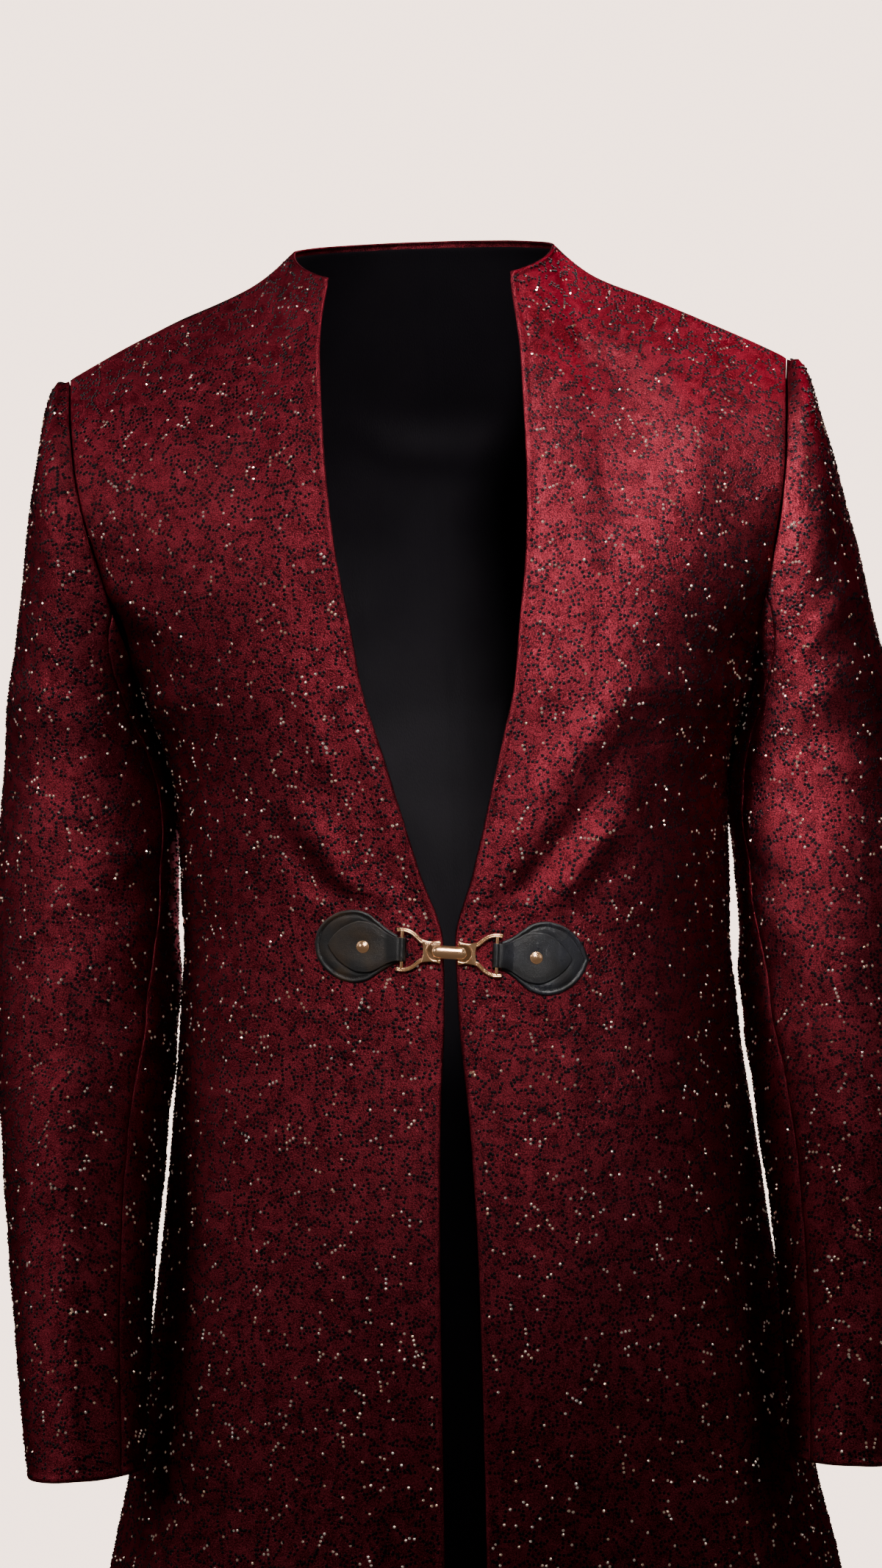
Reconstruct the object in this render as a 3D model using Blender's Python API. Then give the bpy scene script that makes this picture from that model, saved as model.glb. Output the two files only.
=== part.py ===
"""A long open-front sherwani coat, hollow and in its worn pose, closed by one leather and gilt clasp at the waist.

Metres. The origin is the middle of the neck at shoulder height, +X is the wearer's left, the front faces -Y
and +Z is up. Every cloth piece is a wall through sections read from the tables below.
"""

import math

import bpy
import numpy as np

CLOTH = 0.002  # velvet and its lining together
SHARP_FROM = math.radians(40)
SEAM_GAP = 0.0004
DIFFERENCE = 0.002  # step in table rows, or in parts of a section, over which a slope is taken
DEGREE_DIFFERENCE = 0.12
FLATTEST_SEAM_SINE = 0.25  # of the angle between a seam and the rows that end at it

# The worn pose: the body leans to the wearer's left below the neck and turns a little, and the left shoulder
# is the higher one.
LEAN = 0.030
LEAN_DEPTH = 0.34
LEAN_POWER = 1.2
DRIFT = 0.012  # further lean, for each metre below the waist
DRIFT_STARTS = 0.45
TURN = 0.042
TILT = 0.0266
TILT_ENDS = 0.385  # depth below the neck at which the body has lost its tilt

# Neck and shoulder seam, for the wearer's left half.
NECK_HALF_WIDTH = 0.080
NECK_PEAK_HEIGHT = 0.038
NECK_BACK_REACH = 0.074
NAPE_HEIGHT = 0.050
SHOULDER_SEAM_SETBACK = 0.004
SHOULDER_SAG = 0.0068
SAG_AT = 0.2  # share of the seam, from the neck, where it sags most
SAG_POWER = 1.4
FRONT_NECK_SHARE = 3 / 12  # of the front's top edge
BACK_NECK_SHARE = 5 / 11  # of half the back's top edge
NECK_FADE_ROWS = 5
NECK_FADE_POWER = 2.5

# Sections of the body. side_*: the armhole as far as the armpit, then the side seam. edge_*: the front edge.
# centre_*: the centre back. turn: degrees that a half section turns through, 90 where it reaches the side.
BODY_COLUMNS = (
    "side_x",
    "side_z",
    "front_side_y",
    "back_side_y",
    "edge_x",
    "edge_y",
    "edge_z",
    "centre_y",
    "centre_z",
    "turn",
)
BODY_SECTIONS = (
    (0.2200, -0.036, 0.004, 0.004, 0.0550, -0.060, 0.015, 0.078, 0.050, 55),  # shoulder point
    (0.2160, -0.078, -0.044, 0.047, 0.0600, -0.090, -0.040, 0.095, -0.008, 55),
    (0.2105, -0.122, -0.062, 0.062, 0.0595, -0.109, -0.095, 0.119, -0.075, 58),
    (0.2000, -0.168, -0.058, 0.058, 0.0565, -0.119, -0.148, 0.131, -0.138, 63),
    (0.1890, -0.211, -0.036, 0.038, 0.0495, -0.123, -0.198, 0.134, -0.195, 74),
    (0.1850, -0.235, 0.003, 0.003, 0.0445, -0.124, -0.235, 0.132, -0.235, 90),  # armpit
    (0.1745, -0.263, 0.003, 0.003, 0.0370, -0.123, -0.263, 0.127, -0.263, 90),
    (0.1685, -0.300, 0.003, 0.003, 0.0272, -0.121, -0.300, 0.119, -0.300, 90),
    (0.1672, -0.345, 0.003, 0.003, 0.0150, -0.119, -0.345, 0.110, -0.345, 90),
    (0.1670, -0.385, 0.003, 0.003, 0.0034, -0.118, -0.385, 0.106, -0.385, 90),  # clasp
    (0.1695, -0.425, 0.003, 0.003, 0.0040, -0.118, -0.425, 0.109, -0.425, 90),
    (0.1775, -0.500, 0.003, 0.003, 0.0088, -0.121, -0.500, 0.125, -0.500, 90),
    (0.1890, -0.590, 0.003, 0.003, 0.0114, -0.128, -0.590, 0.145, -0.590, 90),
    (0.2080, -0.700, 0.003, 0.003, 0.0120, -0.138, -0.700, 0.163, -0.700, 90),
    (0.2360, -0.830, 0.003, 0.003, 0.0124, -0.151, -0.830, 0.180, -0.830, 90),
    (0.2580, -0.970, 0.003, 0.003, 0.0128, -0.164, -0.970, 0.195, -0.970, 90),  # hem
)
ARMPIT_ROW = 5
LAST_BODY_ROW = len(BODY_SECTIONS) - 1
SECTION_POWER = 0.86  # under 1 squares a section, 1 is an ellipse

# Sections of a sleeve, by its outer and inner edges. centre_y, half_depth: front to back. bulge: how far the
# front and the back stand out past the line between those edges. The seams are degrees round from the inner
# edge, the front one towards the front and the back one towards the back.
SLEEVE_COLUMNS = (
    "outer_x",
    "outer_z",
    "inner_x",
    "inner_z",
    "centre_y",
    "half_depth",
    "bulge",
    "front_seam",
    "back_seam",
)
SLEEVE_SECTIONS = (
    (0.2200, -0.0360, 0.1850, -0.2350, 0.003, 0.0620, 0.000, 60, 100),  # armhole
    (0.2275, -0.0375, 0.1850, -0.2375, 0.003, 0.0645, 0.005, 56, 100),  # roped sleeve head
    (0.2340, -0.0490, 0.1842, -0.2420, 0.005, 0.0670, 0.010, 52, 101),
    (0.2410, -0.0810, 0.1818, -0.2480, 0.008, 0.0685, 0.014, 46, 102),
    (0.2510, -0.1280, 0.1778, -0.2580, 0.014, 0.0690, 0.014, 40, 103),
    (0.2630, -0.1920, 0.1728, -0.2730, 0.020, 0.0680, 0.010, 34, 104),
    (0.2740, -0.2620, 0.1690, -0.3000, 0.024, 0.0650, 0.005, 31, 105),
    (0.2835, -0.3450, 0.1715, -0.3450, 0.020, 0.0610, 0.000, 32, 105),
    (0.2855, -0.4300, 0.1735, -0.4200, 0.010, 0.0580, 0.000, 44, 105),  # elbow
    (0.2800, -0.5120, 0.1798, -0.5050, -0.022, 0.0530, 0.000, 54, 104),
    (0.2720, -0.6000, 0.1878, -0.5950, -0.056, 0.0480, 0.000, 52, 102),
    (0.2615, -0.6970, 0.1915, -0.6930, -0.090, 0.0440, 0.000, 46, 100),  # cuff
)
LAST_SLEEVE_ROW = len(SLEEVE_SECTIONS) - 1
ARMHOLE_FADE_ROWS = 5
SLEEVE_CREASE_ANGLE = 92
SLEEVE_CREASE_HEIGHT = 0.0022
SLEEVE_CREASE_WIDTH = 16
SLEEVE_CREASE_STARTS = 7.5  # sleeve rows
SLEEVE_CREASE_GROWS = 1.5

# Folds of a sleeve. Columns: table row and angle of the middle, ridge height, half length in degrees, half
# width in rows, and rows that the fold drops for each 90 degrees that it runs round.
SLEEVE_FOLDS = (
    (5.4, 120, 0.0030, 60, 0.34, 0.5),
    (6.7, 60, 0.0028, 50, 0.30, 0.7),
    (7.6, 75, 0.0036, 55, 0.24, 0.6),
    (8.3, 60, 0.0032, 50, 0.24, 0.5),
    (8.9, 85, 0.0026, 55, 0.26, 0.4),
    (7.9, 250, 0.0030, 55, 0.26, -0.4),
    (8.6, 280, 0.0024, 50, 0.26, -0.4),
)

# Flutes of the skirt. Columns: place across a half section, depth at the hem, and half width across.
FRONT_FLUTES = (
    (0.30, -0.003, 0.12),
    (0.56, 0.006, 0.12),
    (0.82, -0.005, 0.10),
)
BACK_FLUTES = (
    (0.00, 0.005, 0.12),
    (0.27, -0.008, 0.12),
    (0.50, 0.009, 0.11),
    (0.74, -0.007, 0.10),
)
FLUTES_START = 9.5  # body row
FLUTE_GROWTH = 1.4
FLUTE_SEAM_POWER = 10  # how close to a seam or the front edge the flutes still keep their depth

FRONT_COLUMNS_MADE = 12
BACK_COLUMNS_MADE = 11  # in each half
BODY_ROWS_MADE = 36
SLEEVE_ROWS_MADE = 28
TOP_SLEEVE_COLUMNS_MADE = 10
UNDER_SLEEVE_COLUMNS_MADE = 6

# The clasp, by distance along it from its middle, height up it, and height off the cloth.
CLASP_Z = -0.390
CLASP_SLOPE = math.radians(3.6)
SURFACE_ROWS = 200
SURFACE_STEP = 0.001
LEATHER = 0.0014
LAYER_GAP = 0.0003
BAR_ALONG = 0.0278
BAR_RADIUS = 0.0009
BAR_HALF_LENGTH = 0.0112
BAR_LIFT = 0.0032
RIVET_ALONG = 0.0505
RIVET_RADIUS = 0.0036
RIVET_RISE = 0.0015
RIVET_RIM = 0.25  # share of the rise that its upright rim takes
RIVET_RINGS = 4
RIVET_SIDES = 16
TAB_ROWS_MADE = 14
TAB_COLUMNS_MADE = 6
BASE_OUTLINE_COLUMNS = ("along", "half_width")
BASE_OUTLINE = (
    (0.0795, 0.0004),
    (0.0785, 0.0062),
    (0.0755, 0.0119),
    (0.0700, 0.0172),
    (0.0630, 0.0206),
    (0.0560, 0.0217),
    (0.0490, 0.0202),
    (0.0430, 0.0163),
    (0.0370, 0.0117),
    (0.0304, 0.0080),
)
FLAP_OUTLINE = (
    (0.0695, 0.0005),
    (0.0684, 0.0046),
    (0.0650, 0.0095),
    (0.0600, 0.0133),
    (0.0530, 0.0156),
    (0.0470, 0.0150),
    (0.0410, 0.0122),
    (0.0360, 0.0090),
    (0.0320, 0.0074),
    (0.0300, 0.0071),
)
FLAP_LOOP_STEPS = 7
FLAP_TUCK_ALONG = 0.0299
FLAP_RISES_FROM = 0.038  # along, where the leaf leaves the patch and climbs to the bar
FLAP_LOOP_TURN = (60, 270)  # degrees round the bar
PLATE_NEAR = 0.0052
PLATE_FAR = 0.0165
PLATE_HALF_HEIGHT = 0.0070
PLATE_WAIST = 0.0008
PLATE_LIFTS = (0.0018, 0.0050)
NOTCH_CENTRE = 0.0078
NOTCH_RADIUS = 0.0051
NOTCH_STEPS = 9
ARM_RADIUS = 0.0010
ARM_LIFT = 0.0033
ARM_ROUTE = (
    (0.0300, 0.0118),
    (0.0270, 0.0119),
    (0.0240, 0.0114),
    (0.0212, 0.0100),
    (0.0188, 0.0080),
    (0.0168, 0.0060),
    (0.0152, 0.0052),
)
WIRE_SIDES = 8
WIRE_ASIDE = (0.12, 0.93, 0.21)  # a direction that no wire runs in
LINK_HALF_LENGTH = 0.0107
LINK_RADIUS = 0.0039
LINK_TIP_RADIUS = 0.0007
LINK_HALF_DEPTH = 0.0027
LINK_LIFT = 0.0034
LINK_SIDES = 16
LINK_END_STEPS = 4
PIN_RADIUS = 0.0008
PIN_REACH = 0.0046

VELVET = ("velvet", (0.145, 0.010, 0.018), 0.75, 0.0)
BLACK_LEATHER = ("black_leather", (0.012, 0.011, 0.012), 0.42, 0.0)
GILT = ("gilt", (0.86, 0.56, 0.33), 0.22, 1.0)


def clear_scene():
    for obj in list(bpy.data.objects):
        bpy.data.objects.remove(obj)


def material(name, colour, roughness, metallic):
    """The material of that name, made on its first use."""
    made = bpy.data.materials.get(name)
    if made is None:
        made = bpy.data.materials.new(name)
        made.use_nodes = True
        shader = made.node_tree.nodes["Principled BSDF"]
        shader.inputs["Base Color"].default_value = (*colour, 1.0)
        shader.inputs["Roughness"].default_value = roughness
        shader.inputs["Metallic"].default_value = metallic
    return made


def add_object(name, points, faces, finish):
    """A smooth mesh object of the given points and faces."""
    mesh = bpy.data.meshes.new(name)
    mesh.from_pydata(np.asarray(points).tolist(), [], faces)
    mesh.materials.append(material(*finish))
    mesh.shade_smooth()
    mesh.set_sharp_from_angle(angle=SHARP_FROM)
    obj = bpy.data.objects.new(name, mesh)
    bpy.context.scene.collection.objects.link(obj)
    return obj


def read_table(columns, rows, at):
    """Each named column of a table at row numbers of any fraction, on a smooth curve that never overshoots."""
    values = np.array(rows, float)
    steps = np.diff(values, axis=0)
    slopes = np.zeros_like(values)
    same_way = steps[:-1] * steps[1:] > 0
    sums = np.where(same_way, steps[:-1] + steps[1:], 1.0)
    slopes[1:-1] = np.where(same_way, 2 * steps[:-1] * steps[1:] / sums, 0.0)
    slopes[0] = steps[0]
    slopes[-1] = steps[-1]
    at = np.clip(np.asarray(at, float), 0, len(rows) - 1)
    low = np.minimum(at.astype(int), len(rows) - 2)
    part = (at - low)[..., None]
    start_weight = (1 + 2 * part) * (1 - part) ** 2
    end_weight = part**2 * (3 - 2 * part)
    found = start_weight * values[low] + end_weight * values[low + 1]
    found = found + part * (1 - part) ** 2 * slopes[low] - part**2 * (1 - part) * slopes[low + 1]
    return {name: found[..., index] for index, name in enumerate(columns)}


def pack_points(x, y, z):
    return np.stack(np.broadcast_arrays(x, y, z), axis=-1)


def unit(vectors):
    return vectors / np.linalg.norm(vectors, axis=-1, keepdims=True)


def slopes_of(surface, first, second):
    """The two tangents of surface(first, second), by central differences."""
    along_first = surface(first + DIFFERENCE, second) - surface(first - DIFFERENCE, second)
    along_second = surface(first, second + DIFFERENCE) - surface(first, second - DIFFERENCE)
    return along_first, along_second


def shoulder_seam(share):
    """The seam on top of the shoulder, from the neck (0) to the shoulder point (1)."""
    tip = BODY_SECTIONS[0]
    past = share / SAG_AT
    sag = SHOULDER_SAG * past**SAG_POWER * np.exp(SAG_POWER * (1 - past)) * (1 - share**4)
    x = NECK_HALF_WIDTH + (tip[0] - NECK_HALF_WIDTH) * share
    z = NECK_PEAK_HEIGHT + (tip[1] - NECK_PEAK_HEIGHT) * share - sag
    return pack_points(x, SHOULDER_SEAM_SETBACK, z)


def top_edge(across, behind):
    """The top edge of half a front or back: the neck's edge, and after it the shoulder seam."""
    neck_share = BACK_NECK_SHARE if behind else FRONT_NECK_SHARE
    share = np.clip((across - neck_share) / (1 - neck_share), 0, 1)
    round_neck = np.clip(across / neck_share, 0, 1)
    if behind:
        angle = np.pi / 2 * (1 - round_neck)
        reach = NECK_BACK_REACH
        end_height = NAPE_HEIGHT
        end_sine = 1.0
    else:
        start = read_table(BODY_COLUMNS, BODY_SECTIONS, 0)
        end_angle = np.arccos(start["edge_x"] / NECK_HALF_WIDTH)
        angle = end_angle * (1 - round_neck)
        end_sine = np.sin(end_angle)
        reach = (start["edge_y"] - SHOULDER_SEAM_SETBACK) / end_sine
        end_height = start["edge_z"]
    x = NECK_HALF_WIDTH * np.cos(angle)
    y = SHOULDER_SEAM_SETBACK + reach * np.sin(angle)
    z = NECK_PEAK_HEIGHT + (end_height - NECK_PEAK_HEIGHT) * np.sin(angle) / end_sine
    on_neck = (across < neck_share)[..., None]
    return np.where(on_neck, pack_points(x, y, z), shoulder_seam(share))


def section_point(row, across, behind):
    """A point of half a plain section, from the front edge or the centre back (0) to the side (1)."""
    at = read_table(BODY_COLUMNS, BODY_SECTIONS, row)
    start_x = 0.0 if behind else at["edge_x"]
    start_y = at["centre_y"] if behind else at["edge_y"]
    start_z = at["centre_z"] if behind else at["edge_z"]
    side_y = at["back_side_y"] if behind else at["front_side_y"]
    turn = np.radians(at["turn"])
    angle = np.clip(across, 0, None) * turn
    end_cosine = np.maximum(np.cos(turn), 0) ** SECTION_POWER
    reach = (np.sin(angle) / np.sin(turn)) ** SECTION_POWER
    depth = (np.maximum(np.cos(angle), 0) ** SECTION_POWER - end_cosine) / (1 - end_cosine)
    x = start_x + (at["side_x"] - start_x) * reach
    y = side_y + (start_y - side_y) * depth
    z = start_z + (at["side_z"] - start_z) * across
    return pack_points(x, y, z)


def plain_body(row, across, behind):
    """The body without its flutes: the plain sections, drawn up at the top to the neck and shoulder seam."""
    row = np.asarray(row, float)
    across = np.asarray(across, float)
    fade = np.clip(1 - row / NECK_FADE_ROWS, 0, 1) ** NECK_FADE_POWER
    raised = top_edge(across, behind) - section_point(np.zeros_like(row), across, behind)
    return section_point(row, across, behind) + fade[..., None] * raised


def flute_rise(row, across, behind):
    """How far the skirt's flutes stand out: none at the seams, and most at the hem."""
    rise = np.zeros(np.broadcast(row, across).shape)
    for place, depth, half_width in BACK_FLUTES if behind else FRONT_FLUTES:
        rise = rise + depth * np.exp(-(((across - place) / half_width) ** 2))
    growth = np.clip((row - FLUTES_START) / (LAST_BODY_ROW - FLUTES_START), 0, 1) ** FLUTE_GROWTH
    clear_of_seam = 1 - np.clip(across, 0, 1) ** FLUTE_SEAM_POWER
    clear_of_edge = 1.0 if behind else 1 - np.clip(1 - across, 0, 1) ** FLUTE_SEAM_POWER
    return rise * growth * clear_of_seam * clear_of_edge


def body_wall(row, across, behind):
    """Outer points and outward directions of half the body, for the wearer's left side."""
    down, sideways = slopes_of(lambda r, a: plain_body(r, a, behind), row, across)
    outward = unit(np.cross(down, sideways) * (-1 if behind else 1))
    outer = plain_body(row, across, behind) + outward * flute_rise(row, across, behind)[..., None]
    return outer, outward


def armhole_point(angle):
    """The sleeve's ring, one seam gap out of the armhole, by degrees round from the armpit towards the front."""
    front = read_table(BODY_COLUMNS, BODY_SECTIONS, ARMPIT_ROW * (1 - angle / 180))
    back = read_table(BODY_COLUMNS, BODY_SECTIONS, ARMPIT_ROW * (angle / 180 - 1))
    on_front = angle <= 180
    x = np.where(on_front, front["side_x"], back["side_x"])
    y = np.where(on_front, front["front_side_y"], back["back_side_y"])
    z = np.where(on_front, front["side_z"], back["side_z"])
    return pack_points(x + SEAM_GAP, y, z)


def sleeve_section(row, angle):
    """A point of a sleeve's plain section, by degrees round from its inner edge towards the front."""
    at = read_table(SLEEVE_COLUMNS, SLEEVE_SECTIONS, row)
    turned = np.radians(angle)
    inwards = (1 + np.cos(turned)) / 2
    x = at["outer_x"] + (at["inner_x"] - at["outer_x"]) * inwards + at["bulge"] * np.sin(turned) ** 2
    z = at["outer_z"] + (at["inner_z"] - at["outer_z"]) * inwards
    y = at["centre_y"] - at["half_depth"] * np.sin(turned)
    return pack_points(x, y, z)


def plain_sleeve(row, angle):
    """The sleeve without its folds, which starts as the armhole's ring."""
    row = np.asarray(row, float)
    angle = np.mod(np.asarray(angle, float), 360)
    fade = np.clip(1 - row / ARMHOLE_FADE_ROWS, 0, 1) ** 2
    ring = armhole_point(angle) - sleeve_section(np.zeros_like(row), angle)
    return sleeve_section(row, angle) + fade[..., None] * ring


def degrees_between(angle, direction):
    return np.mod(angle - direction + 180, 360) - 180


def sleeve_rise(row, angle):
    """How far the folds and the pressed crease stand out of a sleeve."""
    pressed = np.clip((row - SLEEVE_CREASE_STARTS) / SLEEVE_CREASE_GROWS, 0, 1)
    off_crease = degrees_between(angle, SLEEVE_CREASE_ANGLE)
    rise = SLEEVE_CREASE_HEIGHT * pressed * np.exp(-((off_crease / SLEEVE_CREASE_WIDTH) ** 2))
    for middle, direction, height, half_length, half_width, slant in SLEEVE_FOLDS:
        round_by = degrees_between(angle, direction)
        offset = row - middle - slant * round_by / 90
        rise = rise + height * np.exp(-((offset / half_width) ** 2) - (round_by / half_length) ** 2)
    return rise


def sleeve_wall(row, angle):
    """Outer points and outward directions of the wearer's left sleeve."""
    down = plain_sleeve(row + DIFFERENCE, angle) - plain_sleeve(row - DIFFERENCE, angle)
    around = plain_sleeve(row, angle + DEGREE_DIFFERENCE) - plain_sleeve(row, angle - DEGREE_DIFFERENCE)
    outward = unit(np.cross(down, around))
    outer = plain_sleeve(row, angle) + outward * sleeve_rise(row, angle)[..., None]
    return outer, outward


def pose(points, with_shoulders):
    """The points in the worn pose. The sleeves keep the shoulders' tilt, and the body loses it by the waist."""
    x, y, z = np.moveaxis(np.asarray(points, float), -1, 0)
    armpit = -BODY_SECTIONS[ARMPIT_ROW][1]
    lost = np.clip((-z - armpit) / (TILT_ENDS - armpit), 0, 1)
    kept = 1.0 if with_shoulders else 1 - lost**2 * (3 - 2 * lost)
    depth = np.maximum(-z, 0)
    lean = LEAN * (1 - np.exp(-((depth / LEAN_DEPTH) ** LEAN_POWER)))
    lean = lean + DRIFT * np.maximum(depth - DRIFT_STARTS, 0)
    return pack_points(x + lean + TURN * y, y - TURN * x, z + TILT * kept * x)


def drawn_back(outer, axis, end):
    """The grid with one border drawn in along its rows or columns, which leaves half the seam gap beside it."""
    outer = np.moveaxis(outer.copy(), axis, 0)
    last = 0 if end == "first" else -1
    next_to_last = 1 if end == "first" else -2
    inwards = unit(outer[next_to_last] - outer[last])
    along_seam = unit(np.gradient(outer[last], axis=0))
    sine = np.linalg.norm(np.cross(inwards, along_seam), axis=-1, keepdims=True)
    outer[last] += inwards * SEAM_GAP / 2 / np.maximum(sine, FLATTEST_SEAM_SINE)
    return np.moveaxis(outer, 0, axis)


def wall_faces(rows, columns):
    """Faces of a closed wall: the outer grid, then the inner grid, then the rim round both."""
    index = np.arange(rows * columns).reshape(rows, columns)
    corners = (index[:-1, :-1], index[1:, :-1], index[1:, 1:], index[:-1, 1:])
    outer = np.stack(corners, axis=-1).reshape(-1, 4)
    inner = outer[:, ::-1] + rows * columns
    border = np.concatenate([index[0, :-1], index[:-1, -1], index[-1, :0:-1], index[:0:-1, 0]])
    onward = np.roll(border, -1)
    rim = np.stack([border, onward, onward + rows * columns, border + rows * columns], axis=-1)
    return np.concatenate([outer, inner, rim]).tolist()


def add_wall(name, outer, outward, with_shoulders):
    """A wall of cloth inside the outer grid, whose rows run down and whose columns run to the wearer's left."""
    inner = outer - outward * CLOTH
    points = np.concatenate([outer.reshape(-1, 3), inner.reshape(-1, 3)])
    add_object(name, pose(points, with_shoulders), wall_faces(*outer.shape[:2]), VELVET)


def mirrored(grid):
    """The grid for the wearer's right side, with its columns turned round so that it still faces out."""
    return (grid * (-1, 1, 1))[:, ::-1]


def without_y(outward):
    """Directions turned into the plane of a seam, so that the walls on both sides meet face to face."""
    return unit(outward * (1, 0, 1))


def body_rows():
    return np.linspace(0, LAST_BODY_ROW, BODY_ROWS_MADE + 1)[:, None]


def seam_directions(outward, neck_columns):
    """Directions of half the body, with its shoulder and side seams meeting face to face."""
    outward = outward.copy()
    below_armpit = body_rows()[:, 0] >= ARMPIT_ROW
    outward[below_armpit, -1] = without_y(outward[below_armpit, -1])
    outward[0, neck_columns:] = without_y(outward[0, neck_columns:])
    return outward


def make_fronts():
    across = np.linspace(0, 1, FRONT_COLUMNS_MADE + 1)[None, :]
    outer, outward = body_wall(body_rows() + 0 * across, across + 0 * body_rows(), behind=False)
    outward = seam_directions(outward, round(FRONT_NECK_SHARE * FRONT_COLUMNS_MADE))
    outer = drawn_back(drawn_back(outer, 1, "last"), 0, "first")
    add_wall("front_left", outer, outward, with_shoulders=False)
    add_wall("front_right", mirrored(outer), mirrored(outward), with_shoulders=False)


def make_back():
    across = np.linspace(0, 1, BACK_COLUMNS_MADE + 1)[None, :]
    outer, outward = body_wall(body_rows() + 0 * across, across + 0 * body_rows(), behind=True)
    outward = seam_directions(outward, round(BACK_NECK_SHARE * BACK_COLUMNS_MADE))
    outward[:, 0] = unit(outward[:, 0] * (0, 1, 1))
    outer = drawn_back(drawn_back(outer, 1, "last"), 0, "first")
    whole = np.concatenate([outer[:, :0:-1], outer * (-1, 1, 1)], axis=1)
    directions = np.concatenate([outward[:, :0:-1], outward * (-1, 1, 1)], axis=1)
    add_wall("back", whole, directions, with_shoulders=False)


def make_sleeves():
    rows = np.linspace(0, LAST_SLEEVE_ROW, SLEEVE_ROWS_MADE + 1)[:, None]
    seams = read_table(SLEEVE_COLUMNS, SLEEVE_SECTIONS, rows)
    front_seam = seams["front_seam"]
    back_seam = 360 - seams["back_seam"]
    pieces = (
        ("top", front_seam, back_seam, TOP_SLEEVE_COLUMNS_MADE),
        ("under", back_seam - 360, front_seam, UNDER_SLEEVE_COLUMNS_MADE),
    )
    for piece, start, end, columns in pieces:
        share = np.linspace(0, 1, columns + 1)[None, :]
        outer, outward = sleeve_wall(rows + 0 * share, start + (end - start) * share)
        outward[0, :, 0] = np.minimum(outward[0, :, 0], 0)
        outward[0] = unit(outward[0])
        outer = drawn_back(drawn_back(outer, 1, "first"), 1, "last")
        add_wall(f"sleeve_left_{piece}", outer, outward, with_shoulders=True)
        add_wall(f"sleeve_right_{piece}", mirrored(outer), mirrored(outward), with_shoulders=True)


def front_surface(x, z):
    """How far out the fronts' cloth lies at a place near the clasp, as y."""
    rows = np.linspace(ARMPIT_ROW, LAST_BODY_ROW, SURFACE_ROWS)
    heights = read_table(BODY_COLUMNS, BODY_SECTIONS, rows)["side_z"]
    row = np.interp(-z, -heights, rows)
    at = read_table(BODY_COLUMNS, BODY_SECTIONS, row)
    reach = np.clip((np.abs(x) - at["edge_x"]) / (at["side_x"] - at["edge_x"]), 0, 1)
    depth = np.cos(np.arcsin(reach ** (1 / SECTION_POWER))) ** SECTION_POWER
    return at["front_side_y"] + (at["edge_y"] - at["front_side_y"]) * depth


def on_clasp(along, up, lift, side=1):
    """Points given along the clasp, up it and off the cloth, in the coat's frame. side is 1 on the left front."""
    along = side * np.asarray(along, float)
    up = np.asarray(up, float)
    x = along * math.cos(CLASP_SLOPE) + up * math.sin(CLASP_SLOPE)
    z = CLASP_Z - along * math.sin(CLASP_SLOPE) + up * math.cos(CLASP_SLOPE)
    rise_x = front_surface(x + SURFACE_STEP, z) - front_surface(x - SURFACE_STEP, z)
    rise_z = front_surface(x, z + SURFACE_STEP) - front_surface(x, z - SURFACE_STEP)
    outward = unit(pack_points(rise_x, -2 * SURFACE_STEP, rise_z))
    return pack_points(x, front_surface(x, z), z) + outward * np.asarray(lift, float)[..., None]


def add_leather(name, side, along, half_width, low, high):
    """A closed leaf whose rows run along the clasp, with a half width and two heights off the cloth for each."""
    share = np.linspace(-1, 1, TAB_COLUMNS_MADE + 1)[None, :]
    up = half_width[:, None] * np.sin(share * np.pi / 2)
    bottom = on_clasp(along[1][:, None] + 0 * up, up, low[:, None] + 0 * up, side)
    top = on_clasp(along[0][:, None] + 0 * up, up, high[:, None] + 0 * up, side)
    if side > 0:
        bottom = bottom[:, ::-1]
        top = top[:, ::-1]
    points = np.concatenate([top.reshape(-1, 3), bottom.reshape(-1, 3)])
    add_object(name, pose(points, False), wall_faces(*top.shape[:2]), BLACK_LEATHER)


def make_tab_base(name, side):
    """The stitched patch that lies on the front."""
    rows = np.linspace(0, len(BASE_OUTLINE) - 1, TAB_ROWS_MADE + 1)
    at = read_table(BASE_OUTLINE_COLUMNS, BASE_OUTLINE, rows)
    low = np.full(rows.shape, SEAM_GAP)
    add_leather(name, side, (at["along"], at["along"]), at["half_width"], low, low + LEATHER)


def make_tab_flap(name, side):
    """The leaf on top of the patch, folded round the ring's bar and tucked back under it."""
    rows = np.linspace(0, len(FLAP_OUTLINE) - 1, TAB_ROWS_MADE + 1)
    at = read_table(BASE_OUTLINE_COLUMNS, FLAP_OUTLINE, rows)
    middle_radius = BAR_RADIUS + LAYER_GAP + LEATHER / 2
    flat_lift = SEAM_GAP + LAYER_GAP + 1.5 * LEATHER
    over = BAR_LIFT + middle_radius
    rising = np.clip((FLAP_RISES_FROM - at["along"]) / (FLAP_RISES_FROM - FLAP_OUTLINE[-1][0]), 0, 1)
    lift = flat_lift + (over - flat_lift) * rising**2 * (3 - 2 * rising)
    turned = np.radians(np.linspace(*FLAP_LOOP_TURN, FLAP_LOOP_STEPS))
    loop_along = BAR_ALONG + middle_radius * np.cos(turned)
    loop_lift = BAR_LIFT + middle_radius * np.sin(turned)
    along = np.concatenate([at["along"], loop_along, [FLAP_TUCK_ALONG]])
    lift = np.concatenate([lift, loop_lift, [BAR_LIFT - middle_radius]])
    half_width = np.append(at["half_width"], np.full(FLAP_LOOP_STEPS + 1, at["half_width"][-1]))
    tangent = unit(np.stack([np.gradient(along), np.gradient(lift)], axis=-1))
    outward = np.stack([tangent[:, 1], -tangent[:, 0]], axis=-1) * LEATHER / 2
    upper = along + outward[:, 0]
    lower = along - outward[:, 0]
    add_leather(name, side, (upper, lower), half_width, lift - outward[:, 1], lift + outward[:, 1])


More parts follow.
